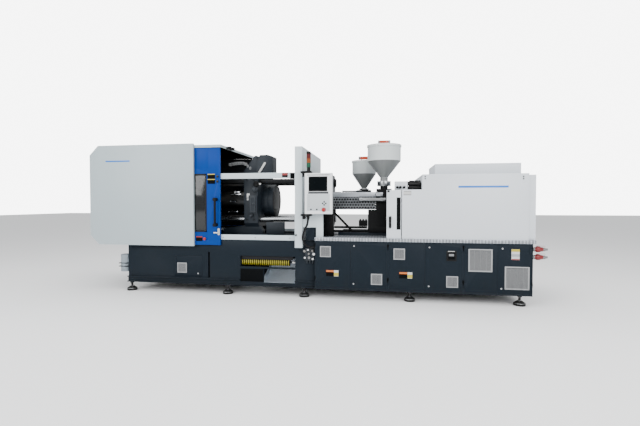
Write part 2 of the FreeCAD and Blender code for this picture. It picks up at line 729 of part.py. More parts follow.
def door_rails():
    """Upper and lower slide rails on both sides, with their left posts."""
    x0 = door_left - RAIL_POST
    post = box(x0, x0 + RAIL_POST, rail_front, rail_back, CLAMP_BASE_TOP, cover_bottom)
    upper = box(x0, post_left, rail_front, rail_back, UPPER_RAIL_BOTTOM, UPPER_RAIL_TOP)
    lower = box(x0, post_left, rail_front, rail_back, CLAMP_BASE_TOP, LOWER_RAIL_TOP)
    side = join([post, upper, lower])
    return [side, mirror_y(side)]


def platen_guard():
    """Front and rear posts with the wall between them, and the nozzle plate beside the post."""
    top_post = box(post_left, post_right, 0, rail_back, CLAMP_BASE_TOP, POST_TOP)
    low_post = box(post_left, post_right, 0, base_front, POST_BOTTOM, CLAMP_BASE_TOP)
    post = join([top_post, low_post])
    wall = box(post_right - WALL_THICK, post_right, rail_back, MACHINE_WIDTH - rail_back,
               CLAMP_BASE_TOP, POST_TOP)
    half = PLATEN_WIDTH / 2
    gap = box(post_right - WALL_THICK, post_right, MID_Y - half - PANEL_GAP, MID_Y + half + PANEL_GAP,
              CLAMP_BASE_TOP, PLATEN_TOP + PANEL_GAP)
    plate = slab_xz([
        (post_right, NOZZLE_PLATE_BOTTOM), (post_right + NOZZLE_LEG_INSET, NOZZLE_PLATE_BOTTOM),
        (post_right + NOZZLE_LEG_INSET, deck_top), (post_right + NOZZLE_PLATE_WIDTH, deck_top),
        (post_right + NOZZLE_PLATE_WIDTH, NOZZLE_PLATE_TOP), (post_right, NOZZLE_PLATE_TOP),
    ], NOZZLE_PLATE_Y, NOZZLE_PLATE_Y + SHEET)
    return join([post, mirror_y(post), without(wall, [gap]), plate])


# ---------------------------------------------------------------- clamp
def platen_body(x0, x1, hole_radius):
    """Cast platen with bevelled corners and four tie bar holes."""
    half, c = PLATEN_WIDTH / 2, PLATEN_CORNER
    y0, y1, z0, z1 = MID_Y - half, MID_Y + half, PLATEN_BOTTOM, PLATEN_TOP
    outline = [(y0 + c, z0), (y1 - c, z0), (y1, z0 + c), (y1, z1 - c),
               (y1 - c, z1), (y0 + c, z1), (y0, z1 - c), (y0, z0 + c)]
    body = slab_yz(outline, x0, x1)
    return without(body, [rod_x(y, z, hole_radius, x0, x1) for y, z in tie_points])


def platen_feet(x0, x1):
    return [box(x0, x1, y - WAY_WIDTH / 2, y + WAY_WIDTH / 2, CLAMP_BASE_TOP, PLATEN_BOTTOM + PLATE)
            for y in way_y]


def fixed_platen():
    """Fixed platen: locating bores on the mould side, nozzle wells behind, mould bolt holes."""
    body = join([platen_body(fixed_left, fixed_right, TIE_RADIUS)]
                + platen_feet(fixed_left, clamp_base_right - PLATE))
    tools = []
    for y in unit_y.values():
        tools.append(rod_x(y, CENTRE_Z, LOCATING_RADIUS, fixed_left, fixed_left + LOCATING_DEPTH))
        tools.append(rod_x(y, CENTRE_Z, NOZZLE_HOLE_RADIUS, fixed_left + LOCATING_DEPTH, fixed_right))
    tools += mould_bolt_holes(fixed_left, 1, MOULD_BOLT_SPACING + SPRUE_SPACING / 2)
    return without(body, tools)


def mould_bolt_holes(face_x, direction, spacing_y):
    """Four tapped holes on a rectangle about the machine axis."""
    ends = sorted((face_x, face_x + direction * MOULD_BOLT_DEPTH))
    return [
        rod_x(MID_Y + a * spacing_y / 2, CENTRE_Z + b * MOULD_BOLT_SPACING / 2, MOULD_BOLT_RADIUS, *ends)
        for a in (-1, 1)
        for b in (-1, 1)
    ]


def tie_bars():
    bars = []
    for y, z in tie_points:
        nuts = [
            rod_x(y, z, TIE_NUT_RADIUS, REAR_PLATEN_LEFT - TIE_NUT_LENGTH, REAR_PLATEN_LEFT),
            rod_x(y, z, TIE_NUT_RADIUS, fixed_right, fixed_right + TIE_NUT_LENGTH),
        ]
        bar = rod_x(y, z, TIE_RADIUS, REAR_PLATEN_LEFT - TIE_NUT_LENGTH, fixed_right + TIE_NUT_LENGTH)
        bars.append(join([bar] + nuts))
    return bars


def rear_platen():
    body = join([platen_body(REAR_PLATEN_LEFT, rear_right, TIE_RADIUS)]
                + platen_feet(REAR_PLATEN_LEFT, rear_right))
    return without(body, [rod_x(MID_Y, CENTRE_Z, RAM_RADIUS + SHAFT_FIT, REAR_PLATEN_LEFT, rear_right)])


def clamp_cylinder():
    body = rod_x(MID_Y, CENTRE_Z, CYLINDER_RADIUS, CYLINDER_LEFT, REAR_PLATEN_LEFT)
    bore = rod_x(MID_Y, CENTRE_Z, RAM_RADIUS + SHAFT_FIT, CYLINDER_LEFT + CYLINDER_END, REAR_PLATEN_LEFT)
    return without(body, [bore])


def clamp_ram():
    return rod_x(MID_Y, CENTRE_Z, RAM_RADIUS, RAM_TAIL, MOVING_PLATEN_LEFT)


def traverse_cylinders():
    """Two small cylinders that open and close the platen quickly."""
    x1 = rear_right + TRAVERSE_LENGTH
    cylinders = []
    for level in (-1, 1):
        z = CENTRE_Z + level * TRAVERSE_OFFSET
        body = rod_x(MID_Y, z, TRAVERSE_RADIUS, rear_right, x1)
        bore = rod_x(MID_Y, z, TRAVERSE_BORE, rear_right + TRAVERSE_GLAND, x1 - TRAVERSE_GLAND)
        gland = rod_x(MID_Y, z, TRAVERSE_ROD + SHAFT_FIT, x1 - TRAVERSE_GLAND, x1)
        cylinders.append(without(body, [bore, gland]))
    return cylinders


def traverse_rods():
    x0 = rear_right + 2 * TRAVERSE_GLAND
    rods = []
    for level in (-1, 1):
        z = CENTRE_Z + level * TRAVERSE_OFFSET
        piston = rod_x(MID_Y, z, TRAVERSE_BORE - SHAFT_FIT, x0, x0 + TRAVERSE_GLAND)
        rods.append(join([rod_x(MID_Y, z, TRAVERSE_ROD, x0, MOVING_PLATEN_LEFT), piston]))
    return rods


def moving_platen():
    """Moving platen with its slide shoes, the table drive housing on top and a valve manifold."""
    x0, x1 = MOVING_PLATEN_LEFT, moving_right
    body = platen_body(x0, x1, TIE_RADIUS + RUN_GAP)
    shoe_right = x1 + PLATE + RAIL_DEPTH
    shoe_left = shoe_right - SHOE_LENGTH
    low, top = way_top + RUN_GAP, way_top + SHOE_HEIGHT
    outline = [(shoe_left, low), (shoe_right, low), (shoe_right, low + SHOE_NOSE), (x1, top),
               (x0, top), (shoe_left, low + SHOE_HEEL)]
    shoes = [slab_xz(outline, y - WAY_WIDTH / 2, y + WAY_WIDTH / 2) for y in way_y]
    left = x0 + HOUSING_STEP
    housing = slab_xz([
        (left, PLATEN_TOP), (left, PLATEN_TOP + HOUSING_SKIRT), (left + HOUSING_SHOULDER, HOUSING_TOP),
        (HOUSING_RIGHT - HOUSING_SHOULDER, HOUSING_TOP), (HOUSING_RIGHT, HOUSING_TOP - HOUSING_NOSE),
        (HOUSING_RIGHT, PLATEN_TOP),
    ], HOUSING_FRONT, HOUSING_BACK)
    manifold = box(x1 - MANIFOLD_WIDTH, x1, MID_Y - PLATEN_WIDTH / 2 - MANIFOLD_REACH,
                   MID_Y - PLATEN_WIDTH / 2, MANIFOLD_BOTTOM, MANIFOLD_TOP)
    return join([body] + shoes + [housing, manifold])


def table_bearing():
    ring = rod_x(MID_Y, CENTRE_Z, TABLE_RADIUS, moving_right, moving_right + BEARING_LENGTH)
    seat = rod_x(MID_Y, CENTRE_Z, TABLE_SPIGOT_RADIUS + SHAFT_FIT,
                 moving_right + BEARING_LENGTH - TABLE_SPIGOT_LENGTH, moving_right + BEARING_LENGTH)
    return without(ring, [seat])


def rotary_table():
    disc = rod_x(MID_Y, CENTRE_Z, TABLE_RADIUS, table_left, table_right)
    spigot = rod_x(MID_Y, CENTRE_Z, TABLE_SPIGOT_RADIUS,
                   table_left - TABLE_SPIGOT_LENGTH + PANEL_GAP, table_left)
    body = join([disc, spigot])
    return without(body, mould_bolt_holes(table_right, -1, MOULD_BOLT_SPACING))


def safety_lever():
    """Drop lever hinged on the front of the table drive housing."""
    dx, dz = LEVER_END_X - LEVER_PIVOT_X, LEVER_END_Z - LEVER_PIVOT_Z
    length = math.hypot(dx, dz)
    nx, nz = -dz / length * LEVER_HALF_WIDTH, dx / length * LEVER_HALF_WIDTH
    y1 = HOUSING_FRONT - RUN_GAP
    y0 = y1 - LEVER_THICK
    blade = slab_xz([
        (LEVER_PIVOT_X + nx, LEVER_PIVOT_Z + nz), (LEVER_END_X + nx, LEVER_END_Z + nz),
        (LEVER_END_X - nx, LEVER_END_Z - nz), (LEVER_PIVOT_X - nx, LEVER_PIVOT_Z - nz),
    ], y0, y1)
    return join([blade, rod_y(LEVER_PIVOT_X, LEVER_PIVOT_Z, LEVER_HALF_WIDTH, y0, y1)])


# ---------------------------------------------------------------- operator side
def panel_arms():
    """Upper and lower arms on the side of the front post, with the panel's two pivots."""
    arms = []
    for z, pin in (
        (PANEL_TOP + ARM_GAP, (PANEL_TOP - PIVOT_DEPTH, PANEL_TOP + ARM_GAP)),
        (PANEL_BOTTOM - ARM_GAP - ARM_THICK, (PANEL_BOTTOM - ARM_GAP, PANEL_BOTTOM + PIVOT_DEPTH)),
    ):
        arm = box(post_right, post_right + ARM_WIDTH, ARM_FRONT, 0, z, z + ARM_THICK)
        lug = box(post_right, post_right + ARM_LUG, 0, NOZZLE_PLATE_Y, z - ARM_LUG, z + ARM_THICK)
        arms.append(join([arm, lug, rod_z(swivel_x, SWIVEL_Y, PIVOT_RADIUS, *pin)]))
    return arms


def stack_lamp():
    z = PANEL_TOP + ARM_GAP + ARM_THICK
    foot = cone_z(lamp_x, SWIVEL_Y, LAMP_RADIUS, LAMP_RADIUS - SHEET, z, z + LAMP_FOOT)
    return join([foot, rod_z(lamp_x, SWIVEL_Y, LAMP_RADIUS - SHEET, z + LAMP_FOOT, z + LAMP_HEIGHT)])


def panel_case():
    back = PANEL_FRONT + PANEL_DEPTH
    case = box(panel_left, panel_left + PANEL_WIDTH, PANEL_FRONT, back, PANEL_BOTTOM, PANEL_TOP)
    radius = PIVOT_RADIUS + SHAFT_FIT
    sockets = [
        rod_z(swivel_x, SWIVEL_Y, radius, PANEL_TOP - PIVOT_DEPTH - PANEL_GAP, PANEL_TOP),
        rod_z(swivel_x, SWIVEL_Y, radius, PANEL_BOTTOM, PANEL_BOTTOM + PIVOT_DEPTH + PANEL_GAP),
    ]
    hole = rod_y(*panel_stop, BUTTON_STEM + RUN_GAP, PANEL_FRONT, PANEL_FRONT + BUTTON_DEPTH)
    return without(case, sockets + [hole])


def cord_tube(points, radius):
    """Round tube along straight runs joined by tangent arcs, with the arc radii printed."""
    at = [Vector(*p) for p in points]
    start = at[0]
    edges = []
    for before, corner, after in zip(at, at[1:], at[2:]):
        run_in, run_out = corner - before, after - corner
        shorter = min(run_in.Length, run_out.Length)
        turn = run_in.getAngle(run_out)
        reach = CORD_RUN_SHARE * shorter
        arc_radius = reach / math.tan(turn / 2)
        into = Vector(run_in).normalize()
        away = Vector(run_out).normalize()
        first = corner - into * reach
        last = corner + away * reach
        sideways = (away - into).normalize()
        middle = corner + sideways * (arc_radius / math.cos(turn / 2) - arc_radius)
        edges.append(Part.LineSegment(start, first).toShape())
        edges.append(Part.Arc(first, middle, last).toShape())
        start = last
        print("conduit arc radius", round(arc_radius, 1))
    edges.append(Part.LineSegment(start, at[-1]).toShape())
    path = Part.Wire(edges)
    direction = (at[1] - at[0]).normalize()
    profile = Part.Wire(Part.makeCircle(radius, at[0], direction))
    tube = path.makePipeShell([profile], True, False)
    print("conduit length", round(path.Length, 1), "volume ratio",
          round(tube.Volume / (math.pi * radius ** 2 * path.Length), 4))
    return tube


# ---------------------------------------------------------------- covers and services
def injection_covers():
    """Sheet cover over the two drives, its raised top box and the stepped right end."""
    outline = [
        (cover_left, deck_top), (cover_left, COVER_STEP_Z), (cover_step, COVER_STEP_Z),
        (cover_step, COVER_TOP), (cover_right, COVER_TOP), (cover_right, deck_top),
    ]
    s = COVER_WALL
    inner = [
        (cover_left, deck_top), (cover_left, COVER_STEP_Z - s), (cover_step + s, COVER_STEP_Z - s),
        (cover_step + s, COVER_TOP - s), (cover_right, COVER_TOP - s), (cover_right, deck_top),
    ]
    shell = without(slab_xz(outline, 0, MACHINE_WIDTH), [slab_xz(inner, s, MACHINE_WIDTH - s)])
    inset = END_COVER_INSET
    end = box(cover_right, end_cover_right, inset, MACHINE_WIDTH - inset, deck_top, END_COVER_TOP)
    hollow = box(cover_right, end_cover_right - s, inset + s, MACHINE_WIDTH - inset - s,
                 deck_top, END_COVER_TOP - s)
    rim = box(cover_right - s, cover_right, 0, MACHINE_WIDTH, deck_top, COVER_TOP)
    window = box(cover_right - s, cover_right, inset + s, MACHINE_WIDTH - inset - s,
                 deck_top, END_COVER_TOP - s)
    cover = join([shell, without(rim, [window]), without(end, [hollow])])
    y0, y1 = TOP_BOX_FRONT, TOP_BOX_FRONT + TOP_BOX_DEPTH
    raised = box(cover_right - TOP_BOX_LENGTH, cover_right, y0, y1, COVER_TOP, COVER_TOP + TOP_BOX_HEIGHT)
    room = box(cover_right - TOP_BOX_LENGTH + s, cover_right - s, y0 + s, y1 - s,
               COVER_TOP, COVER_TOP + TOP_BOX_HEIGHT - s)
    return [cover, without(raised, [room])]


def injection_guard():
    """Narrow sliding guard on the deck, between the hopper and the cover."""
    x0, x1 = inner_guard_left, cover_left - INNER_GUARD_GAP
    z0 = deck_top + RUN_GAP
    tray = box(x0, x1, 0, INNER_GUARD_THICK, z0, INNER_GUARD_TOP)
    hollow = box(x0 + SHEET, x1 - SHEET, SHEET, INNER_GUARD_THICK, z0 + SHEET, INNER_GUARD_TOP - SHEET)
    x = x0 + GUARD_HANDLE_INSET
    grip = rod_z(x, -GUARD_HANDLE_REACH, GUARD_HANDLE_RADIUS, GUARD_HANDLE_LOW, GUARD_HANDLE_HIGH)
    inset = 2 * GUARD_HANDLE_RADIUS
    legs = [rod_y(x, z, GUARD_HANDLE_RADIUS - SHEET, -GUARD_HANDLE_REACH, SHEET)
            for z in (GUARD_HANDLE_LOW + inset, GUARD_HANDLE_HIGH - inset)]
    return join([without(tray, [hollow]), grip] + legs)


def grease_pump():
    x1 = CLAMP_BASE_LEFT
    x0 = x1 - PUMP_WIDTH
    middle = (x0 + x1 - PUMP_BRACKET) / 2
    y = base_front + PUMP_INSET
    radius = (PUMP_WIDTH - PUMP_BRACKET) / 2
    tank = rod_z(middle, y, radius, PUMP_BOTTOM, PUMP_TOP)
    bracket = box(middle, x1, y - radius / 2, y + radius / 2, PUMP_BOTTOM + radius, PUMP_TOP - radius)
    return join([tank, bracket])


def valve_block():
    """Air and water valve manifold on the front of the clamp base."""
    x1 = cabinet_left - VALVE_BLOCK_GAP
    x0 = x1 - VALVE_BLOCK_WIDTH
    z0, z1 = VALVE_BLOCK_BOTTOM, VALVE_BLOCK_TOP
    block = box(x0 + PLATE, x1 - PLATE, base_front - MANIFOLD_REACH, base_front, z0 + MANIFOLD_REACH, z1)
    knobs = []
    for number in range(VALVE_KNOBS):
        x = x0 + 2 * PLATE + number * MANIFOLD_REACH
        knobs.append(rod_y(x, z1 - MANIFOLD_REACH, PIVOT_RADIUS, base_front - VALVE_KNOB_REACH, base_front))
        knobs.append(rod_z(x, base_front - PLATE, PIVOT_RADIUS / 2, z0, z0 + MANIFOLD_REACH))
    return join([block] + knobs)


def water_valves():
    """Two ball valves on the right end of the injection base."""
    valves = []
    for z in WATER_Z:
        x0 = cabinet_right
        top = z + WATER_RADIUS + WATER_BONNET
        pipe = rod_x(WATER_Y, z, WATER_PIPE_RADIUS, x0, x0 + WATER_LENGTH)
        body = rod_x(WATER_Y, z, WATER_RADIUS, x0 + WATER_RADIUS, x0 + WATER_LENGTH - 2 * WATER_RADIUS)
        bonnet = rod_z(x0 + WATER_STEM_X, WATER_Y, WATER_STEM_RADIUS + SHEET, z, top)
        seat = rod_z(x0 + WATER_STEM_X, WATER_Y, WATER_STEM_RADIUS + SHAFT_FIT, z + WATER_RADIUS, top)
        valves.append(without(join([pipe, body, bonnet]), [seat]))
    return valves


def valve_lever(z):
    """Quarter-turn lever: stem in the bonnet, flat handle along the pipe."""
    x, top = cabinet_right + WATER_STEM_X, z + WATER_RADIUS + WATER_BONNET
    stem = rod_z(x, WATER_Y, WATER_STEM_RADIUS, z + WATER_RADIUS + RUN_GAP, top + RUN_GAP)
    hub = rod_z(x, WATER_Y, WATER_STEM_RADIUS + SHEET, top + RUN_GAP, top + RUN_GAP + 2 * SHEET)
    blade = box(x, x + LEVER_LENGTH, WATER_Y - LEVER_DEPTH / 2, WATER_Y + LEVER_DEPTH / 2,
                top + RUN_GAP + SHEET, top + RUN_GAP + 2 * SHEET)
    return join([stem, hub, blade])


# ---------------------------------------------------------------- injection units
def carriage(unit):
    """Sled, pedestal, feed block on its saddle, guide rods and rear plate of one injection unit."""
    y, x = unit_y[unit], throat_x[unit]
    half, block = SLED_WIDTH / 2, FEED_BLOCK_LENGTH / 2
    y0, y1 = y - FEED_BLOCK_WIDTH / 2, y + FEED_BLOCK_WIDTH / 2
    rear = unit_rear(unit)
    left, right = pedestal_x[unit], cabinet_left + PEDESTAL_RIGHT
    foot = CENTRE_Z - SADDLE_DROP
    sled = box(left, rear + UNIT_REAR_PLATE, y - half, y + half, sled_bottom, sled_top)
    pedestal = box(left, right, y0, y1, sled_top, foot)
    saddle = box(x - block, right, y0, y1, foot, foot + SADDLE_HEIGHT)
    feed = box(x - block, x + block, y0, y1, foot, FEED_BLOCK_TOP)
    plate = box(rear, rear + UNIT_REAR_PLATE, y0, y1, sled_top, CENTRE_Z + DRIVE_HEIGHT / 2)
    guides = [rod_x(y + side * GUIDE_PITCH / 2, CENTRE_Z, GUIDE_RADIUS, x + block, rear) for side in (-1, 1)]
    body = join([sled, pedestal, saddle, feed, plate] + guides)
    bore = rod_x(y, CENTRE_Z, BARREL_RADIUS + SHAFT_FIT, x - block, x + block)
    throat = rod_z(x, y, BARREL_BORE, CENTRE_Z, FEED_BLOCK_TOP)
    return without(body, [bore, throat])


def unit_rear(unit):
    return throat_x[unit] + UNIT_REAR


def barrel(unit):
    y, x = unit_y[unit], throat_x[unit]
    start = nozzle_tip_x + NOZZLE_LENGTH
    end = x + FEED_BLOCK_LENGTH / 2
    tube = rod_x(y, CENTRE_Z, BARREL_RADIUS, start, end)
    nozzle = Part.makeCone(NOZZLE_RADIUS / 2, NOZZLE_RADIUS, NOZZLE_LENGTH, Vector(nozzle_tip_x, y, CENTRE_Z),
                           Vector(1, 0, 0))
    tools = [
        rod_x(y, CENTRE_Z, BARREL_BORE, start + SHEET, end),
        rod_x(y, CENTRE_Z, NOZZLE_ORIFICE, nozzle_tip_x, start + SHEET),
        rod_z(x, y, BARREL_BORE, CENTRE_Z, CENTRE_Z + BARREL_RADIUS),
    ]
    return without(join([tube, nozzle]), tools)


def screw(unit):
    y = unit_y[unit]
    tip = nozzle_tip_x + NOZZLE_LENGTH + 2 * SHEET + SHOT_STROKE
    cone = Part.makeCone(NOZZLE_ORIFICE, BARREL_BORE - SHAFT_FIT, SCREW_TIP, Vector(tip, y, CENTRE_Z),
                         Vector(1, 0, 0))
    end = throat_x[unit] + FEED_BLOCK_LENGTH / 2
    flights = rod_x(y, CENTRE_Z, BARREL_BORE - SHAFT_FIT, tip + SCREW_TIP, end)
    shank = rod_x(y, CENTRE_Z, SPINDLE_RADIUS, end, drive_x(unit) + SCREW_SOCKET - PANEL_GAP)
    return join([cone, flights, shank])


def drive_x(unit):
    return throat_x[unit] + DRIVE_BACK


def drive(unit):
    """Motor block that turns the screw and slides on the guide rods."""
    y, x = unit_y[unit], drive_x(unit)
    block = box(x, x + DRIVE_LENGTH, y - DRIVE_WIDTH / 2, y + DRIVE_WIDTH / 2,
                CENTRE_Z - DRIVE_HEIGHT / 2, CENTRE_Z + DRIVE_HEIGHT / 2)
    motor = rod_x(y, CENTRE_Z, MOTOR_RADIUS, x + DRIVE_LENGTH, x + DRIVE_LENGTH + MOTOR_LENGTH)
    body = join([block, motor])
    tools = [rod_x(y + side * GUIDE_PITCH / 2, CENTRE_Z, GUIDE_RADIUS + RUN_GAP, x, unit_rear(unit))
             for side in (-1, 1)]
    tools.append(rod_x(y, CENTRE_Z, SPINDLE_RADIUS + SHAFT_FIT, x, x + SCREW_SOCKET))
    return without(body, tools)


def barrel_guard(unit):
    """Sheet and mesh guard round the heated barrel, open below."""
    y = unit_y[unit]
    x1 = throat_x[unit] - FEED_BLOCK_LENGTH / 2
    y0, y1 = y - mesh_half, y + mesh_half
    outer = box(mesh_left, x1, y0, y1, MESH_BOTTOM, MESH_TOP)
    inner = box(mesh_left, x1 - SHEET, y0 + SHEET, y1 - SHEET, MESH_BOTTOM, MESH_TOP - SHEET)
    bore = rod_x(y, CENTRE_Z, BARREL_RADIUS + MESH_GAP, x1 - SHEET, x1)
    return without(outer, [inner, bore])


def hopper(unit):
    radius, top, cone_top, cone_low, outlet, flange_low, flange_high, flange = HOPPERS[unit]
    x, y = throat_x[unit], unit_y[unit]
    z = FEED_BLOCK_TOP
    pieces = [
        rod_z(x, y, radius, cone_top, top),
        rod_z(x, y, radius + HOPPER_RIM, top - 2 * HOPPER_RIM, top),
        cone_z(x, y, outlet, radius, cone_low, cone_top),
        rod_z(x, y, outlet, z, cone_low),
        rod_z(x, y, flange, flange_low, flange_high),
    ]
    ear_y = y + radius + HOPPER_RIM
    pieces.append(box(x - LID_HINGE, x + LID_HINGE, ear_y - LID_HINGE, ear_y + LID_HINGE,
                      top - 2 * HOPPER_RIM, top))
    body = join(pieces)
    room = join([
        rod_z(x, y, radius - SHEET, cone_top, top),
        cone_z(x, y, outlet - SHEET, radius - SHEET, cone_low, cone_top),
        rod_z(x, y, outlet - SHEET, z, cone_low),
    ])
    return without(body, [room])


def hopper_lid(unit):
    radius, top = HOPPERS[unit][:2]
    x, y = throat_x[unit], unit_y[unit]
    z = top + LID_GAP
    disc = rod_z(x, y, radius + HOPPER_RIM, z, z + LID_HEIGHT)
    hinge_y = y + radius + HOPPER_RIM
    ear = box(x - LID_HINGE, x + LID_HINGE, hinge_y - LID_HINGE, hinge_y + LID_HINGE, z, z + LID_HEIGHT)
    long, wide = LID_HANDLE_LENGTH / 2, LID_HANDLE_WIDTH / 2
    high = z + LID_HEIGHT + LID_HANDLE_RISE
    grip = box(x - long, x + long, y - wide, y + wide, high, high + LID_HANDLE_HEIGHT)
    legs = [rod_z(x + side * long / 2, y, wide / 2, z + LID_HEIGHT, high) for side in (-1, 1)]
    return join([disc, ear, grip] + legs)


# ---------------------------------------------------------------- assembly
shapes = {
    "clamp_base": clamp_base(),
    "injection_base": injection_base(),
    "levelling_feet": levelling_feet(),
    "deck_plate": deck_plate(),
    "drop_chute": drop_chute(),
    "discharge_roller": discharge_roller(),
    "clamp_access_door": clamp_access_door(),
    "clamp_guards": clamp_guards(),
    "front_door": front_door(),
    "front_door_window": front_door_window(),
    "front_door_handle": front_door_handle(),
    "rear_door": rear_door(),
    "door_rails": door_rails(),
    "platen_guard": platen_guard(),
    "fixed_platen": fixed_platen(),
    "tie_bars": tie_bars(),
    "rear_platen": rear_platen(),
    "clamp_cylinder": clamp_cylinder(),
    "clamp_ram": clamp_ram(),
    "traverse_cylinders": traverse_cylinders(),
    "traverse_rods": traverse_rods(),
    "moving_platen": moving_platen(),
    "table_bearing": table_bearing(),
    "rotary_table": rotary_table(),
    "safety_lever": safety_lever(),
    "panel_arms": panel_arms(),
    "stack_lamp": stack_lamp(),
    "panel_case": panel_case(),
    "panel_conduit": cord_tube([(post_right + x, y, z) for x, y, z in CONDUIT], CORD_RADIUS),
    "injection_covers": injection_covers(),
    "injection_guard": injection_guard(),
    "grease_pump": grease_pump(),
    "valve_block": valve_block(),
    "water_valves": water_valves(),
    "valve_lever_upper": valve_lever(WATER_Z[0]),
    "valve_lever_lower": valve_lever(WATER_Z[1]),
}
for name, (button_x, button_z) in button_places.items():
    size = (STOP_CAP, STOP_CAP_LENGTH) if name == "door_stop_button" else (BUTTON_CAP, BUTTON_CAP_LENGTH)
    shapes[name] = push_button(button_x, door_front, button_z, *size)
shapes["emergency_button"] = push_button(panel_stop[0], PANEL_FRONT, panel_stop[1], STOP_CAP,
                                         STOP_CAP_LENGTH)
hinges = {}
for number, (door, hinge, turn) in enumerate(cabinet_doors(), start=1):
    shapes[f"cabinet_door_{number}"] = door
    hinges[f"cabinet_door_{number}"] = (hinge, turn)
for unit in ("front", "rear"):
    shapes[f"{unit}_carriage"] = carriage(unit)
    shapes[f"{unit}_barrel"] = barrel(unit)
    shapes[f"{unit}_barrel_guard"] = barrel_guard(unit)
    shapes[f"{unit}_drive"] = drive(unit)
    shapes[f"{unit}_screw"] = screw(unit)
    shapes[f"{unit}_hopper"] = hopper(unit)
    shapes[f"{unit}_hopper_lid"] = hopper_lid(unit)

shapes = {name: Part.makeCompound(shape) if isinstance(shape, list) else shape
          for name, shape in shapes.items()}
everything = FreeCAD.BoundBox()
for name, shape in shapes.items():
    if name != "panel_conduit":
        everything.add(shape.BoundBox)
SHIFT = Vector(-everything.Center.x, -everything.Center.y, -everything.ZMin)

for name, shape in shapes.items():
    shape.translate(SHIFT)
    shape.exportStep(f"parts/{name}.step")
print(len(shapes), "nodes, box", everything.XLength, everything.YLength, everything.ZLength)
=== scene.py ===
import json
import math

import bpy
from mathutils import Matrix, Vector


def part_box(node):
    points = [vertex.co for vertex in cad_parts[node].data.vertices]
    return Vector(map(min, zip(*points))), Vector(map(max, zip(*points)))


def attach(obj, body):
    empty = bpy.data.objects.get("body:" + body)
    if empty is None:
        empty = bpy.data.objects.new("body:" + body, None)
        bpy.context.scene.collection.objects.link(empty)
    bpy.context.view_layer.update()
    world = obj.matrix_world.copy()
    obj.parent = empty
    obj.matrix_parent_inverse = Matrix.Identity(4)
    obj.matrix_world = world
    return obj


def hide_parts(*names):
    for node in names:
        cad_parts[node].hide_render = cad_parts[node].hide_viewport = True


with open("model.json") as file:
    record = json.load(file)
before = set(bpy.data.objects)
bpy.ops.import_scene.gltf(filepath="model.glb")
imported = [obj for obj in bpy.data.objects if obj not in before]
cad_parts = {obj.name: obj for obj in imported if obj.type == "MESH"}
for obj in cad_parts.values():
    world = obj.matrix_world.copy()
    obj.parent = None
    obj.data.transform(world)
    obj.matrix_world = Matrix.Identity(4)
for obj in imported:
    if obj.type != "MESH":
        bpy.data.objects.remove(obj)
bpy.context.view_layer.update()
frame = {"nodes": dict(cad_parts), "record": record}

# Every place is counted from the left end of the clamp guards, from the plane of their front sheets,
# where the operator stands, and from the floor. Metres, as in the frame.
left_end, front_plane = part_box("clamp_guards")[0].xy


def place(x, y, z):
    return Vector((left_end + x, front_plane + y, z))


# The camera stands about five metres in front of the cabinet doors, at chest height, turned a little
# towards the clamp end.
camera_yaw = 9.32
camera_pitch = 1.47
bpy.ops.object.camera_add(
    location=place(4.36, -5.228, 1.31),
    rotation=(math.radians(90 - camera_pitch), 0, math.radians(camera_yaw)),
)
camera = bpy.context.object
camera.data.lens = 21.94
camera.data.clip_end = 100
bpy.context.scene.camera = camera

# The studio: a pale floor, an even white sky for the camera, two large soft panels in front of the
# machine's ends and one over its top.
bpy.ops.mesh.primitive_plane_add(size=80, location=(0, 0, 0))
floor = bpy.context.object
floor.name = "studio_floor"
floor_paint = bpy.data.materials.new("studio floor")
floor_paint.use_nodes = True
floor_shader = floor_paint.node_tree.nodes["Principled BSDF"]
floor_shader.inputs["Base Color"].default_value = (0.94, 0.94, 0.94, 1)
floor_shader.inputs["Roughness"].default_value = 0.8
floor.data.materials.append(floor_paint)

world = bpy.data.worlds.new("studio")
bpy.context.scene.world = world
world.use_nodes = True
sky_nodes, sky_links = world.node_tree.nodes, world.node_tree.links
lighting_sky = sky_nodes["Background"]
lighting_sky.inputs["Color"].default_value = (0.97, 0.985, 1, 1)
lighting_sky.inputs["Strength"].default_value = 0.95
white_sky = sky_nodes.new("ShaderNodeBackground")
white_sky.inputs["Strength"].default_value = 9
ray_kind = sky_nodes.new("ShaderNodeLightPath")
sky_choice = sky_nodes.new("ShaderNodeMixShader")
sky_links.new(ray_kind.outputs["Is Camera Ray"], sky_choice.inputs["Fac"])
sky_links.new(lighting_sky.outputs["Background"], sky_choice.inputs[1])
sky_links.new(white_sky.outputs["Background"], sky_choice.inputs[2])
sky_links.new(sky_choice.outputs["Shader"], sky_nodes["World Output"].inputs["Surface"])
for spot, turn, size, power in (
    ((-4.5, -7.5, 4.6), (58, 0, -28), 5.0, 520),
    ((5.0, -7.0, 4.4), (58, 0, 30), 5.0, 520),
    ((0.5, 0.5, 7.0), (0, 0, 0), 7.0, 420),
):
    bpy.ops.object.light_add(type="AREA", location=spot, rotation=[math.radians(a) for a in turn])
    bpy.context.object.data.size = size
    bpy.context.object.data.energy = power


# Panel conduit: corrugated black rubber hose round the panel's wiring. It hangs from a gland under the
# lower arm, bows to the left and goes through a second gland into the injection base.
node_body = {node: body for body, nodes in frame["record"]["behaviour"]["bodies"].items() for node in nodes}


def clear_selection():
    for other in bpy.context.selected_objects:
        other.select_set(False)


def only(piece):
    clear_selection()
    piece.select_set(True)
    bpy.context.view_layer.objects.active = piece
    return piece


def linked(tree, kind, feeds=(), **settings):
    """A node with its settings, each input fed by a socket or given a value."""
    made = tree.nodes.new(kind)
    for key, value in settings.items():
        setattr(made, key, value)
    for socket, value in dict(feeds).items():
        if isinstance(value, bpy.types.NodeSocket):
            tree.links.new(value, made.inputs[socket])
        else:
            made.inputs[socket].default_value = value
    return made


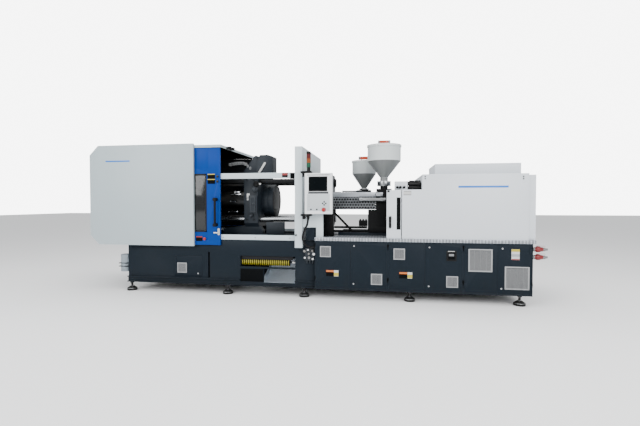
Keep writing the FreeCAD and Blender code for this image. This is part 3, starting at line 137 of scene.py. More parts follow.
def shader_group(name, inputs, outputs):
    group = bpy.data.node_groups.new(name, "ShaderNodeTree")
    for label, kind, value in inputs:
        group.interface.new_socket(name=label, in_out="INPUT", socket_type="NodeSocket" + kind).default_value = value
    for label, kind in outputs:
        group.interface.new_socket(name=label, in_out="OUTPUT", socket_type="NodeSocket" + kind)
    return group, group.nodes.new("NodeGroupInput").outputs, group.nodes.new("NodeGroupOutput").inputs


def noise(tree, vector, scale, detail=2.0):
    return linked(tree, "ShaderNodeTexNoise", {"Vector": vector, "Scale": scale, "Detail": detail}).outputs["Fac"]


def maths(tree, operation, *values):
    return linked(tree, "ShaderNodeMath", dict(enumerate(values)), operation=operation).outputs[0]


def plus(tree, first, second):
    return maths(tree, "ADD", first, second)


def minus(tree, first, second):
    return maths(tree, "SUBTRACT", first, second)


def times(tree, first, second):
    return maths(tree, "MULTIPLY", first, second)


def swing(tree, value, amount):
    """A 0 to 1 pattern turned into a change of plus or minus half the amount."""
    return times(tree, minus(tree, value, 0.5), amount)


def ramp(tree, value, low, high, top=1.0):
    feeds = {"Value": value, "From Min": low, "From Max": high, "To Min": 0.0, "To Max": top}
    return linked(tree, "ShaderNodeMapRange", feeds, clamp=True).outputs["Result"]


def blended(tree, factor, first, second):
    made = tree.nodes.new("ShaderNodeMix")
    made.data_type = "RGBA"
    for socket, value in ((made.inputs[0], factor), (made.inputs[6], first), (made.inputs[7], second)):
        if isinstance(value, bpy.types.NodeSocket):
            tree.links.new(value, socket)
        else:
            socket.default_value = value
    return made.outputs[2]


def shaded(tree, colour, tone):
    return linked(tree, "ShaderNodeVectorMath", {0: colour, "Scale": tone}, operation="SCALE").outputs[0]


def coat_group():
    """Sprayed or moulded surface: broad unevenness, dust on top, grime low down, and orange peel."""
    group, given, result = shader_group(
        "coat surface",
        [("Color", "Color", (0.5, 0.5, 0.5, 1)), ("Roughness", "Float", 0.4), ("Mottle", "Float", 0.08),
         ("Dust", "Float", 0.15), ("Grime", "Float", 0.2), ("Peel Scale", "Float", 420.0)],
        [("Color", "Color"), ("Roughness", "Float"), ("Height", "Float")],
    )
    spot = group.nodes.new("ShaderNodeTexCoord").outputs["Object"]
    broad, fine = noise(group, spot, 1.4, 3), noise(group, spot, 46.0, 3)
    upright = linked(group, "ShaderNodeMapping", {"Vector": spot, "Scale": (9, 9, 1.2)}).outputs[0]
    streaks = noise(group, upright, 3.0, 4)
    tone = plus(group, times(group, swing(group, broad, 2.0), given["Mottle"]), 1.0)
    tone = plus(group, tone, times(group, swing(group, fine, 0.8), given["Mottle"]))
    facing = linked(group, "ShaderNodeSeparateXYZ", {0: group.nodes.new("ShaderNodeNewGeometry").outputs["Normal"]})
    upward = ramp(group, facing.outputs["Z"], 0.55, 0.95)
    dust = times(group, upward, ramp(group, noise(group, spot, 7.0, 5), 0.35, 0.7))
    dust = times(group, dust, given["Dust"])
    height = linked(group, "ShaderNodeSeparateXYZ", {0: spot}).outputs["Z"]
    low = times(group, ramp(group, height, 0.42, 0.10), ramp(group, streaks, 0.38, 0.72))
    grime = times(group, low, given["Grime"])
    colour = shaded(group, given["Color"], tone)
    colour = blended(group, dust, colour, (0.42, 0.41, 0.38, 1))
    group.links.new(blended(group, grime, colour, (0.010, 0.010, 0.010, 1)), result["Color"])
    rough = plus(group, given["Roughness"], swing(group, streaks, 0.10))
    group.links.new(plus(group, rough, times(group, dust, 0.3)), result["Roughness"])
    group.links.new(noise(group, spot, given["Peel Scale"], 1), result["Height"])
    return group


def finish(name, group, feeds, bump=0.05, depth=0.0006, **uniform):
    """A material: the group's outputs feed the shader, and what is the same all over is set on it."""
    made = bpy.data.materials.new(name)
    made.use_nodes = True
    tree = made.node_tree
    shader = tree.nodes["Principled BSDF"]
    for socket, value in uniform.items():
        shader.inputs[socket.replace("_", " ")].default_value = value
    skin = tree.nodes.new("ShaderNodeGroup")
    skin.node_tree = group
    for label, value in feeds.items():
        skin.inputs[label].default_value = value
    for label, socket in (("Color", "Base Color"), ("Roughness", "Roughness"), ("Alpha", "Alpha")):
        if label in skin.outputs:
            tree.links.new(skin.outputs[label], shader.inputs[socket])
    if bump:
        dent = linked(tree, "ShaderNodeBump", {"Height": skin.outputs["Height"], "Strength": bump, "Distance": depth})
        tree.links.new(dent.outputs["Normal"], shader.inputs["Normal"])
    return made


coat = coat_group()


def sprayed(name, colour, roughness, mottle=0.08, dust=0.15, grime=0.2, peel=420.0, bump=0.06, shine=0.5, metal=0.0):
    feeds = {"Color": (*colour, 1), "Roughness": roughness, "Mottle": mottle, "Dust": dust, "Grime": grime,
             "Peel Scale": peel}
    return finish(name, coat, feeds, bump, Specular_IOR_Level=shine, Metallic=metal)


SHARP_ANGLE = math.radians(35)
WELD_DISTANCE = 0.00002
FLAT_ANGLE = math.radians(0.6)


def rounded(piece, width, segments=2, index=-1):
    only(piece)
    edge = piece.modifiers.new("edge", "BEVEL")
    edge.width = width
    edge.segments = segments
    edge.limit_method = "ANGLE"
    edge.angle_limit = SHARP_ANGLE
    edge.material = index
    bpy.ops.object.modifier_apply(modifier="edge")
    return piece


def settle(piece, body):
    """Smooths a finished piece and lets it ride on its body."""
    only(piece)
    bpy.ops.object.shade_smooth_by_angle(angle=SHARP_ANGLE)
    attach(piece, body)
    return piece


def dressed(node, paint, edge, edge_wear_and_highlight=None, choose=None, others=()):
    """A copy of a CAD piece with its facets merged, its edges broken and its finish on; the broken edges take the
    second finish, often lighter as wear and painted highlight.
    """
    piece = bpy.data.objects.new(node + "_finished", frame["nodes"][node].data.copy())
    bpy.context.scene.collection.objects.link(piece)
    piece.data.materials.clear()
    for layer in (paint, edge_wear_and_highlight or paint, *others):
        piece.data.materials.append(layer)
    only(piece)
    bpy.ops.mesh.customdata_custom_splitnormals_clear()
    bpy.ops.object.mode_set(mode="EDIT")
    bpy.ops.mesh.select_all(action="SELECT")
    bpy.ops.mesh.remove_doubles(threshold=WELD_DISTANCE)
    bpy.ops.mesh.dissolve_limited(angle_limit=FLAT_ANGLE)
    bpy.ops.object.mode_set(mode="OBJECT")
    for face in piece.data.polygons:
        face.material_index = choose(face) if choose else 0
    if edge:
        rounded(piece, edge, 2, 1)
    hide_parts(node)
    return settle(piece, node_body[node])


def coated(piece, *layers):
    for layer in layers:
        piece.data.materials.append(layer)
    return piece


def block(name, low, high, edge=0.001, segments=2):
    """A cube brought to its size and place, with its edges broken."""
    clear_selection()
    low, high = Vector(low), Vector(high)
    bpy.ops.mesh.primitive_cube_add(size=1, location=(low + high) / 2, scale=high - low)
    piece = bpy.context.object
    piece.name = name
    bpy.ops.object.transform_apply(location=True, rotation=True, scale=True)
    return rounded(piece, edge, segments) if edge else piece


def laid(name, low, high, edge=0.001, segments=2):
    """A block between two places on the machine."""
    return block(name, place(*low), place(*high), edge, segments)


def turned(name, foot, axis, steps, sides=24):
    """A round piece drawn up from a disc in steps of (height, radius), then laid along its axis."""
    clear_selection()
    last_height, last_radius = 0.0, steps[0][1]
    bpy.ops.mesh.primitive_circle_add(vertices=sides, radius=last_radius, fill_type="NGON")
    piece = bpy.context.object
    piece.name = name
    bpy.ops.object.mode_set(mode="EDIT")
    bpy.ops.mesh.select_all(action="SELECT")
    for height, radius in steps[1:]:
        share = radius / last_radius
        bpy.ops.mesh.extrude_region_move(TRANSFORM_OT_translate={"value": (0, 0, height - last_height)})
        bpy.ops.transform.resize(value=(share, share, 1), center_override=(0, 0, height))
        last_height, last_radius = height, radius
    bpy.ops.mesh.select_all(action="SELECT")
    bpy.ops.mesh.normals_make_consistent(inside=False)
    bpy.ops.object.mode_set(mode="OBJECT")
    piece.rotation_mode = "QUATERNION"
    piece.rotation_quaternion = Vector((0, 0, 1)).rotation_difference(Vector(axis))
    piece.location = foot
    bpy.ops.object.transform_apply(location=True, rotation=True, scale=True)
    return piece


def pick(piece, test):
    """Goes into edit mode with the faces that pass the test selected."""
    only(piece)
    bpy.ops.object.mode_set(mode="EDIT")
    bpy.ops.mesh.select_mode(type="FACE")
    bpy.ops.mesh.select_all(action="DESELECT")
    bpy.ops.object.mode_set(mode="OBJECT")
    for face in piece.data.polygons:
        face.select = test(face)
    bpy.ops.object.mode_set(mode="EDIT")


def sunk(piece, facing, rim, depth, index=0):
    """The faces that look one way are inset by a rim and pushed in, and take another finish."""
    facing = Vector(facing)
    largest = max((face.area for face in piece.data.polygons if face.normal.dot(facing) > 0.99), default=0)
    pick(piece, lambda face: face.normal.dot(facing) > 0.99 and face.area > largest * 0.9)
    bpy.ops.mesh.inset(thickness=rim)
    piece.active_material_index = index
    bpy.ops.mesh.inset(thickness=min(rim, abs(depth)) * 0.2, depth=-depth)
    bpy.ops.object.material_slot_assign()
    bpy.ops.object.mode_set(mode="OBJECT")
    return piece


def moved_corners(piece, test, shift):
    """The corners that pass the test are moved by a shift."""
    only(piece)
    bpy.ops.object.mode_set(mode="EDIT")
    bpy.ops.mesh.select_mode(type="VERT")
    bpy.ops.mesh.select_all(action="DESELECT")
    bpy.ops.object.mode_set(mode="OBJECT")
    for corner in piece.data.vertices:
        corner.select = test(corner.co)
    bpy.ops.object.mode_set(mode="EDIT")
    bpy.ops.transform.translate(value=shift)
    bpy.ops.object.mode_set(mode="OBJECT")
    return piece


def joined(name, pieces):
    only(pieces[0])
    for other in pieces[1:]:
        other.select_set(True)
    if len(pieces) > 1:
        bpy.ops.object.join()
    piece = bpy.context.object
    piece.name = name
    return piece


def fitted(name, low, high, edge, colour, body):
    """A block in one colour, laid in its place and settled on its body."""
    return settle(coated(laid(name, low, high, edge), colour), body)


def spun(name, spot, axis, steps, sides, colour, body, edge=0):
    """A turned piece in one colour, laid in its place and settled on its body."""
    piece = coated(turned(name, place(*spot), axis, steps, sides), colour)
    return settle(rounded(piece, edge) if edge else piece, body)


def corrugated_group():
    """Ribbed rubber: rings across the hose and a dusty bloom on it, both along the hose's own map."""
    group, given, result = shader_group(
        "corrugated rubber",
        [("Color", "Color", (0.02, 0.02, 0.02, 1)), ("Roughness", "Float", 0.5), ("Rings", "Float", 90.0)],
        [("Color", "Color"), ("Roughness", "Float"), ("Height", "Float")],
    )
    coordinates = group.nodes.new("ShaderNodeTexCoord").outputs
    along = linked(group, "ShaderNodeSeparateXYZ", {0: coordinates["UV"]}).outputs["X"]
    turns = times(group, times(group, along, given["Rings"]), 2 * math.pi)
    ripple = plus(group, times(group, maths(group, "SINE", turns), 0.5), 0.5)
    bloom = noise(group, coordinates["Object"], 30.0, 4)
    tone = plus(group, times(group, ripple, 0.5), plus(group, bloom, 0.25))
    group.links.new(shaded(group, given["Color"], tone), result["Color"])
    group.links.new(plus(group, given["Roughness"], swing(group, bloom, 0.2)), result["Roughness"])
    group.links.new(ripple, result["Height"])
    return group


CONDUIT_DIAMETER = 0.029
conduit_route = (
    (3.353, -0.080, 1.135),
    (3.353, -0.080, 1.038),
    (3.299, -0.062, 0.947),
    (3.262, -0.037, 0.846),
    (3.277, -0.004, 0.763),
    (3.336, 0.026, 0.698),
    (3.428, 0.026, 0.698),
)
line = bpy.data.curves.new("panel_conduit_hose", "CURVE")
line.dimensions = "3D"
line.bevel_depth = CONDUIT_DIAMETER / 2
line.bevel_resolution = 5
line.resolution_u = 24
line.use_fill_caps = True
run = line.splines.new("NURBS")
run.points.add(len(conduit_route) - 1)
for point, spot in zip(run.points, conduit_route):
    point.co = (*place(*spot), 1)
run.order_u = 3
run.use_endpoint_u = True
conduit = bpy.data.objects.new("panel_conduit_hose", line)
bpy.context.scene.collection.objects.link(conduit)
conduit.data.materials.append(
    finish("corrugated rubber", corrugated_group(), {"Color": (0.005, 0.005, 0.006, 1), "Roughness": 0.55}, 0.7, 0.002,
           Specular_IOR_Level=0.2)
)
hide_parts("panel_conduit")
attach(conduit, "machine")

black_plastic = sprayed("black moulded plastic", (0.004, 0.0043, 0.0048), 0.44, 0.15, 0.03, 0.2, 900.0, 0.15,
                        shine=0.14)
GLAND = [(0, 0.022), (0.010, 0.022), (0.012, 0.0195), (0.026, 0.0195), (0.046, 0.0155)]
glands = [
    spun(f"conduit_gland_{name}", spot, axis, GLAND, 24, black_plastic, "machine", 0.0006)
    for name, spot, axis in (("upper", conduit_route[0], (0, 0, -1)), ("lower", conduit_route[-1], (-1, 0, 0)))
]


# Bases: welded plate frames with a fine-textured slate powder coat, dusty on top and grimy near the
# floor. The clamp base carries the ways; the injection base is a row of cabinets.
TOWARDS = (0, -1, 0)
slate = sprayed("slate powder coat", (0.0036, 0.0082, 0.0136), 0.50, 0.16, 0.05, 0.35, 700.0, 0.18, shine=0.14)
# Lighter slate on the broken edges: wear and painted highlight.
slate_edge = sprayed("slate coat at the edges, rubbed and with painted highlight", (0.012, 0.018, 0.026), 0.44, 0.3, 0.05, 0.3, shine=0.2)
# Black for dark plates and keys, and painted shade in recesses, slots, gaps and interiors.
shadow_black = sprayed("black paint and painted recess shade", (0.003, 0.0035, 0.004), 0.7, 0.2, 0.02, 0.1, shine=0.03)
bright_screw = sprayed("zinc plated screws", (0.50, 0.51, 0.52), 0.32, 0.15, 0.05, 0.1, metal=0.9)
vent_frame_grey = sprayed("vent frame moulding", (0.27, 0.275, 0.28), 0.5, 0.06, 0.2, 0.35)
vent_slat_grey = sprayed("vent slats", (0.155, 0.16, 0.165), 0.6, 0.12, 0.3, 0.4)


def panelled(piece, facing, cuts, rim=0.014, depth=0.002):
    """A flat side is divided at the cuts, and each field is set in behind a narrow rim."""
    facing = Vector(facing)
    flat = [face for face in piece.data.polygons if face.normal.dot(facing) > 0.99 and face.area > 0.05]
    level = max(face.center.dot(facing) for face in flat)

    def on_side(face):
        return face.normal.dot(facing) > 0.99 and abs(face.center.dot(facing) - level) < 0.0005 and face.area > 0.02

    for spot, across in cuts:
        pick(piece, on_side)
        bpy.ops.mesh.bisect(plane_co=spot, plane_no=across)
        bpy.ops.object.mode_set(mode="OBJECT")
    pick(piece, on_side)
    bpy.ops.mesh.inset(use_individual=True, thickness=rim)
    bpy.ops.mesh.inset(use_individual=True, thickness=0.0015, depth=-depth)
    bpy.ops.object.mode_set(mode="OBJECT")
    return piece


def upright_cuts(*places_along):
    return [(place(x, 0, 0.5), (1, 0, 0)) for x in places_along]


clamp_base = dressed("clamp_base", slate, 0.0025, slate_edge)
injection_base = dressed("injection_base", slate, 0.0025, slate_edge)
dressed("clamp_access_door", slate, 0.0025, slate_edge)
BACK, RIGHT, UP = (0, 1, 0), (1, 0, 0), (0, 0, 1)
panelled(clamp_base, BACK, upright_cuts(1.10, 1.65, 2.20, 2.80))
panelled(injection_base, BACK, upright_cuts(4.02, 4.60, 5.18, 5.70))
panelled(injection_base, RIGHT, [(place(6.2, 0.8, 0.5), BACK)])
fitted("slot_backing", (1.800, 0.100, 0.205), (1.910, 0.108, 0.620), 0.002, shadow_black, "machine")
for number in range(1, 7):
    dressed(f"cabinet_door_{number}", slate, 0.0022, slate_edge)


# Filter vents and locks of the cabinets and of the access door: grey moulded frames with sloping slats
# over filter mats, clipped into the sheet, and plated quarter-turn locks.
VENT_PROUD = 0.007
SLAT_PITCH = 0.0095
SMALL_VENT, LARGE_VENT = 0.1485, 0.292


def filter_vent(name, corner, size, body):
    x, y, z = corner
    rim, mullions = (0.011, (0.5,)) if size == SMALL_VENT else (0.014, (0.25, 0.5, 0.75))
    front = y - VENT_PROUD
    case = coated(block("frame", (x, front, z), (x + size, y + 0.002, z + size), 0.002), vent_frame_grey, shadow_black)
    sunk(case, TOWARDS, rim, 0.006, 1)
    low = z + rim + 0.001
    slat = block("slats", (x + rim, front + 0.0005, low), (x + size - rim, front + 0.0035, low + 0.0062), 0)
    moved_corners(slat, lambda spot: spot.z > low + 0.003, (0, 0.0022, 0))
    rows = slat.modifiers.new("rows", "ARRAY")
    rows.count = int((size - 2 * rim) / SLAT_PITCH)
    rows.use_relative_offset = False
    rows.use_constant_offset = True
    rows.constant_offset_displace = (0, 0, SLAT_PITCH)
    bpy.ops.object.modifier_apply(modifier="rows")
    coated(slat, vent_slat_grey)
    ribs = [coated(block("rib", (x + size * share - 0.002, front, z + rim),
                         (x + size * share + 0.002, front + 0.003, z + size - rim), 0), vent_slat_grey)
            for share in mullions]
    return settle(joined(name, [case, slat, *ribs]), body)


def lock(name, centre, body):
    knob = coated(turned("lock", centre, TOWARDS, [(0, 0.0105), (0.003, 0.0105), (0.0045, 0.009)], 20),
                  bright_screw, shadow_black)
    slit = coated(block("slit", Vector(centre) + Vector((-0.005, -0.0052, -0.001)),
                        Vector(centre) + Vector((0.005, -0.0042, 0.001)), 0), shadow_black)
    return settle(joined(name, [knob, slit]), body)


access_low, access_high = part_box("clamp_access_door")
access_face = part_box("clamp_base")[0].y + 0.040
filter_vent("access_vent", (access_low.x + 0.052, access_face, access_low.z + 0.056), SMALL_VENT,
            "clamp_access_door")
lock("access_lock", (access_high.x - 0.062, access_face, access_low.z + 0.050), "clamp_access_door")

for number, x, from_bottom, size in (
    (1, 3.502, 0.419, SMALL_VENT), (2, 4.191, 0.061, SMALL_VENT), (3, 4.486, 0.405, SMALL_VENT),
    (4, 5.158, 0.058, SMALL_VENT), (5, 5.430, 0.273, LARGE_VENT), (6, 5.870, 0.058, LARGE_VENT),
):
    door = f"cabinet_door_{number}"
    filter_vent(f"cabinet_vent_{number}", (left_end + x, front_plane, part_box(door)[0].z + from_bottom), size, door)
for number, x, z in ((2, 3.965, 0.732), (2, 3.958, 0.222), (4, 4.946, 0.732), (4, 4.940, 0.222),
                     (6, 5.842, 0.732), (6, 5.832, 0.222)):
    lock(f"cabinet_lock_{number}_{'upper' if z > 0.5 else 'lower'}", place(x, 0, z), f"cabinet_door_{number}")


# Clamp guards, roof and the fixed guard round the platen: folded sheet steel with a light grey powder
# coat, the inner faces painted black as shade, bolted to posts on the base.
guard_grey = sprayed("light grey powder coat", (0.365, 0.430, 0.455), 0.42, 0.035, 0.05, 0.10, 620.0, 0.05)
# Lighter grey on the broken edges and folds: wear and painted highlight.
guard_edge = sprayed("light grey coat at the folds, wear and painted highlight", (0.50, 0.56, 0.58), 0.38, 0.06, 0.05, 0.1)
# Black painted on inner faces as the shade inside the guards and the doors.
interior_shade = sprayed("black painted interior shade", (0.006, 0.007, 0.009), 0.62, 0.5, 0.02, 0.1, 90.0, 0.2, shine=0.2)


def turned_inwards(node):
    """Sheets of a hollow guard: faces that look towards its middle are painted black as shade."""
    low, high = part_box(node)
    middle = (low + high) / 2
    return lambda face: 2 if (middle - face.center).dot(face.normal) > 0.05 else 0


dressed("clamp_guards", guard_grey, 0.002, guard_edge, turned_inwards("clamp_guards"), (interior_shade,))
frame_grey = sprayed("pale grey coat of the frame", (0.50, 0.565, 0.59), 0.42, 0.035, 0.05, 0.10, 620.0, 0.05)
dressed("platen_guard", frame_grey, 0.002, guard_edge)
dressed("door_rails", frame_grey, 0.0015, guard_edge)


# Guard fittings: a plain blue enamelled bar on the clamp guard, roof clips, the guard switch set flush
# in the upper rail, the strap that ties the rail to the post, and screws along the lower rail.
enamel_blue = sprayed("blue enamel", (0.006, 0.14, 0.52), 0.35, 0.05, 0.0, 0.0)
signal_red = sprayed("red enamel", (0.20, 0.006, 0.006), 0.38, 0.12, 0.02, 0.1)
signal_yellow = sprayed("yellow enamel", (0.42, 0.33, 0.010), 0.42, 0.1, 0.05, 0.1)
plain_white = sprayed("white enamel", (0.50, 0.50, 0.49), 0.45, 0.08, 0.05, 0.15)
signal_orange = sprayed("orange enamel", (0.50, 0.12, 0.012), 0.42, 0.1, 0.05, 0.1)


def plate(name, low, high, fields, body, edge=0.0012):
    """A thin plate whose front carries plain bands of colour, each given as a share of its height."""
    low, high = place(*low), place(*high)
    rise = high.z - low.z
    layers = [coated(block("plate", low, high, edge), fields[0][2])]
    for start, end, colour in fields[1:]:
        band_low = (low.x + edge, low.y - 0.0003, low.z + rise * start + edge)
        band_high = (high.x - edge, low.y + 0.0006, low.z + rise * end - edge)
        layers.append(coated(block("band", band_low, band_high, 0), colour))
    return settle(joined(name, layers), body)


def cap_screw(name, spot, radius, body, metal):
    """A socket cap screw: a chamfered head whose face is sunk for the key."""
    steps = [(-0.001, radius), (radius * 0.9, radius), (radius, radius * 0.88)]
    head = coated(turned(name, place(*spot), TOWARDS, steps, 16), metal, shadow_black)
    return settle(sunk(head, TOWARDS, radius * 0.40, radius * 0.5, 1), body)


plate("guard_bar", (0.268, -0.0012, 1.917), (0.662, 0.002, 1.937), [(0, 1, enamel_blue)], "machine",
      0.0005)
plate("rail_switch", (2.949, 0.0797, 1.668), (3.035, 0.09, 1.733), [(0, 1, black_plastic), (0.45, 1, signal_red)],
      "machine")
plate("rail_strap", (3.066, 0.0797, 1.650), (3.136, 0.09, 1.733), [(0, 1, shadow_black)], "machine")
RAIL_SCREW = 0.009
for index, (x, z) in enumerate(((2.075, 0.817), (2.555, 0.817), (3.060, 0.817), (3.084, 1.672), (3.118, 1.714))):
    cap_screw(f"rail_screw_{index}", (x, 0.0798 + RAIL_SCREW, z), RAIL_SCREW, "machine",
              black_plastic if z < 1 else bright_screw)
cap_screw("post_lock", (3.168, 0.0, 0.868), 0.013, "machine", black_plastic)
for index, y in enumerate((0.215, 0.330)):
    fitted(f"roof_clip_{index}", (2.075, y, 2.100), (2.140, y + 0.060, 2.139), 0.005, black_plastic, "machine")


# Operator's door: blue powder-coated sheet hung on rollers, with an inset cover, a rubber-edged window of
# tinted polycarbonate, a black bow handle and key switches on dark plates.
door_blue = sprayed("blue powder coat", (0.0004, 0.034, 0.205), 0.42, 0.05, 0.0, 0.1, 620.0, 0.04, shine=0.10)
# Lighter blue on the broken edges and folds: wear and painted highlight.
door_edge = sprayed("blue coat at the folds, wear and painted highlight", (0.006, 0.065, 0.32), 0.35, 0.1, 0.03, 0.1)
rubber = sprayed("black rubber", (0.005, 0.005, 0.006), 0.55, 0.2, 0.05, 0.1, 300.0, 0.2, shine=0.2)
door_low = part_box("front_door")[0]
# The inner faces of both doors are painted black as shade.
dressed("front_door", door_blue, 0.002, door_edge, lambda face: 2 if face.normal.y > 0.9 else 0, (interior_shade,))
dressed("rear_door", door_blue, 0.002, door_edge, lambda face: 2 if face.normal.y < -0.9 else 0, (interior_shade,))
dressed("front_door_handle", black_plastic, 0)

tinted = bpy.data.materials.new("tinted polycarbonate")
tinted.use_nodes = True
tinted_shader = tinted.node_tree.nodes["Principled BSDF"]
tinted_shader.inputs["Base Color"].default_value = (0.012, 0.020, 0.028, 1)
tinted_shader.inputs["Transmission Weight"].default_value = 0.9
tinted_shader.inputs["IOR"].default_value = 1.5
haze = noise(tinted.node_tree, tinted.node_tree.nodes.new("ShaderNodeTexCoord").outputs["Object"], 9.0, 3)
tinted.node_tree.links.new(ramp(tinted.node_tree, haze, 0.2, 0.8, 0.16), tinted_shader.inputs["Roughness"])
window_low, window_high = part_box("front_door_window")
dressed("front_door_window", tinted, 0.0008)
gasket, lip = 0.011, 0.0025
frame_parts = []
for side, (x0, z0, x1, z1) in {
    "left": (window_low.x - gasket, window_low.z - gasket, window_low.x + gasket, window_high.z + gasket),
    "right": (window_high.x - gasket, window_low.z - gasket, window_high.x + gasket, window_high.z + gasket),
    "foot": (window_low.x - gasket, window_low.z - gasket, window_high.x + gasket, window_low.z + gasket),
    "head": (window_low.x - gasket, window_high.z - gasket, window_high.x + gasket, window_high.z + gasket),
}.items():
    frame_parts.append(coated(block(side, (x0, door_low.y - lip, z0), (x1, door_low.y + 0.004, z1), 0.0012), rubber))
settle(joined("window_gasket", frame_parts), "front_door")

front = door_low.y - front_plane
fitted("door_inset", (1.654, front - 0.0012, 1.799), (1.867, front + 0.002, 2.081), 0.0008, door_blue, "front_door")
for name, z in (("upper", 1.657), ("lower", 1.584)):
    plate(f"key_plate_{name}", (1.859, front - 0.003, z), (1.972, front + 0.002, z + 0.070), [(0, 1, shadow_black),
          (0.80, 1, signal_yellow)], "front_door")
plate("stop_plate", (1.676, front - 0.003, 0.760), (1.775, front + 0.002, 0.832), [(0, 1, shadow_black),
      (0.70, 1, signal_red)], "front_door")
latch = coated(laid("latch", (2.013, front - 0.016, 0.852), (2.041, front + 0.002, 0.946), 0.004), plain_white,
               vent_frame_grey)
settle(sunk(latch, TOWARDS, 0.007, 0.003, 1), "front_door")
spun("latch_bolt", (1.950, front - 0.010, 0.884), RIGHT, [(0, 0.009), (0.004, 0.012), (0.062, 0.012)], 16, bright_screw,
     "front_door")

BUTTON_EDGE = 0.0008
button_black = sprayed("black button", (0.006, 0.006, 0.007), 0.32, 0.1, 0.02, 0.1, shine=0.3)
button_red = sprayed("red button", (0.30, 0.006, 0.008), 0.32, 0.06, 0.02, 0.1)
for node, colour in (("door_key_upper", button_black), ("door_key_lower", button_black),
                     ("door_stop_button", button_red)):
    dressed(node, colour, BUTTON_EDGE)


# Clamp: cast iron platens, cylinder and rotary table under a dark grey casting paint, joined by ground tie
# bars, with an oiled ram and oiled traverse rods between them and a white safety lever.
casting = sprayed("dark casting paint", (0.0085, 0.0128, 0.0180), 0.48, 0.35, 0.06, 0.2, 150.0, 0.55, shine=0.25)
# Lighter casting paint: wear and painted highlight on broken edges, and the plain colour of the manifold cover,
# fittings and valve block.
casting_edge = sprayed("casting paint at the edges", (0.018, 0.023, 0.029), 0.42, 0.3, 0.05, 0.2, shine=0.3)
# Machined iron, also used as painted shade on the upper tie bars.
machined_iron_and_shade = sprayed("bare iron and painted shade", (0.012, 0.013, 0.014), 0.5, 0.2, 0.02, 0.1, 900.0, 0.15, metal=0.8)


def drawn_group():
    """Ground or drawn steel: fine scratches along one way, oil stains and a little tarnish."""
    group, given, result = shader_group(
        "drawn steel",
        [("Color", "Color", (0.6, 0.6, 0.6, 1)), ("Roughness", "Float", 0.2), ("Stretch", "Vector", (4, 600, 600)),
         ("Stain", "Float", 0.3)],
        [("Color", "Color"), ("Roughness", "Float"), ("Height", "Float")],
    )
    spot = group.nodes.new("ShaderNodeTexCoord").outputs["Object"]
    stretched = linked(group, "ShaderNodeMapping", {"Vector": spot, "Scale": given["Stretch"]}).outputs[0]
    grain = noise(group, stretched, 1.0, 2)
    patches = ramp(group, noise(group, spot, 5.0, 5), 0.45, 0.75)
    stained = times(group, patches, given["Stain"])
    tone = plus(group, times(group, grain, 0.25), 0.87)
    clean = shaded(group, given["Color"], tone)
    group.links.new(blended(group, stained, clean, (0.16, 0.14, 0.11, 1)), result["Color"])
    rough = plus(group, given["Roughness"], times(group, grain, 0.12))
    group.links.new(plus(group, rough, times(group, stained, 0.3)), result["Roughness"])
    group.links.new(grain, result["Height"])
    return group


drawn = drawn_group()


def steel(name, colour, roughness, stain, stretch, bump, metal=1.0):
    feeds = {"Color": (*colour, 1), "Roughness": roughness, "Stain": stain, "Stretch": stretch}
    return finish(name, drawn, feeds, bump, Metallic=metal)


ground_steel = steel("ground steel", (0.26, 0.27, 0.28), 0.20, 0.35, (4, 500, 500), 0.06)
chrome = steel("chromed steel", (0.74, 0.75, 0.76), 0.08, 0.06, (20, 300, 300), 0.02)
for node in ("rear_platen", "moving_platen", "fixed_platen", "clamp_cylinder", "traverse_cylinders"):
    dressed(node, casting, 0.003, casting_edge)
dressed("table_bearing", casting, 0.0015, casting_edge)
dressed("rotary_table", casting, 0.002, casting_edge, lambda face: 2 if face.normal.x > 0.9 else 0, (machined_iron_and_shade,))
oiled_steel = steel("oiled ram steel", (0.045, 0.047, 0.050), 0.30, 0.4, (4, 400, 400), 0.06)
tie_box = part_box("tie_bars")
tie_middle = (tie_box[0].z + tie_box[1].z) / 2
# The upper tie bars take the dark machined iron: painted shade under the rail.
dressed("tie_bars", ground_steel, 0, ground_steel, lambda face: 2 if face.center.z > tie_middle else 0, (machined_iron_and_shade,))
dressed("clamp_ram", oiled_steel, 0.001)
dressed("traverse_rods", oiled_steel, 0.001)
dressed("safety_lever", plain_white, 0.0015)


# Moving platen fittings: a manifold cover, a plain white plate, a clamp knob, hose fittings and pipes with
# chromed ends, all screwed to the casting; a sheet cheek that carries the cable chain; and the cast stop
# block on the clamp bed.
manifold = coated(laid("manifold_cover", (2.392, 0.316, 1.175), (2.480, 0.334, 1.405), 0.004), casting_edge, casting)
settle(sunk(manifold, TOWARDS, 0.010, 0.004, 1), "platen")
plate("platen_plate", (2.330, 0.3665, 1.352), (2.374, 0.372, 1.452), [(0, 1, plain_white),
      (0.12, 0.50, vent_frame_grey)], "platen")
spun("clamp_knob", (2.487, 0.369, 1.592), TOWARDS, [(0, 0.030), (0.020, 0.042), (0.045, 0.042), (0.052, 0.030)], 20,
     black_plastic, "platen", 0.002)
tab = coated(laid("clamp_tab", (2.520, 0.340, 1.580), (2.556, 0.368, 1.606), 0), plain_white)
settle(rounded(tab, 0.003), "platen")
cheek_low, cheek_high = place(2.215, 0.485, 1.755), place(2.452, 0.640, 2.030)
cheek = moved_corners(
    coated(block("hose_cheek", cheek_low, cheek_high, 0), casting),
    lambda spot: spot.z > cheek_high.z - 0.01 and spot.x < cheek_low.x + 0.01,
    (0.20, 0, 0),
)
settle(rounded(cheek, 0.003), "platen")
for index, (x, z) in enumerate(((2.33, 1.66), (2.44, 1.66), (2.33, 1.06), (2.44, 1.06))):
    cap_screw(f"platen_screw_{index}", (x, 0.3695, z), 0.012, "platen", machined_iron_and_shade)
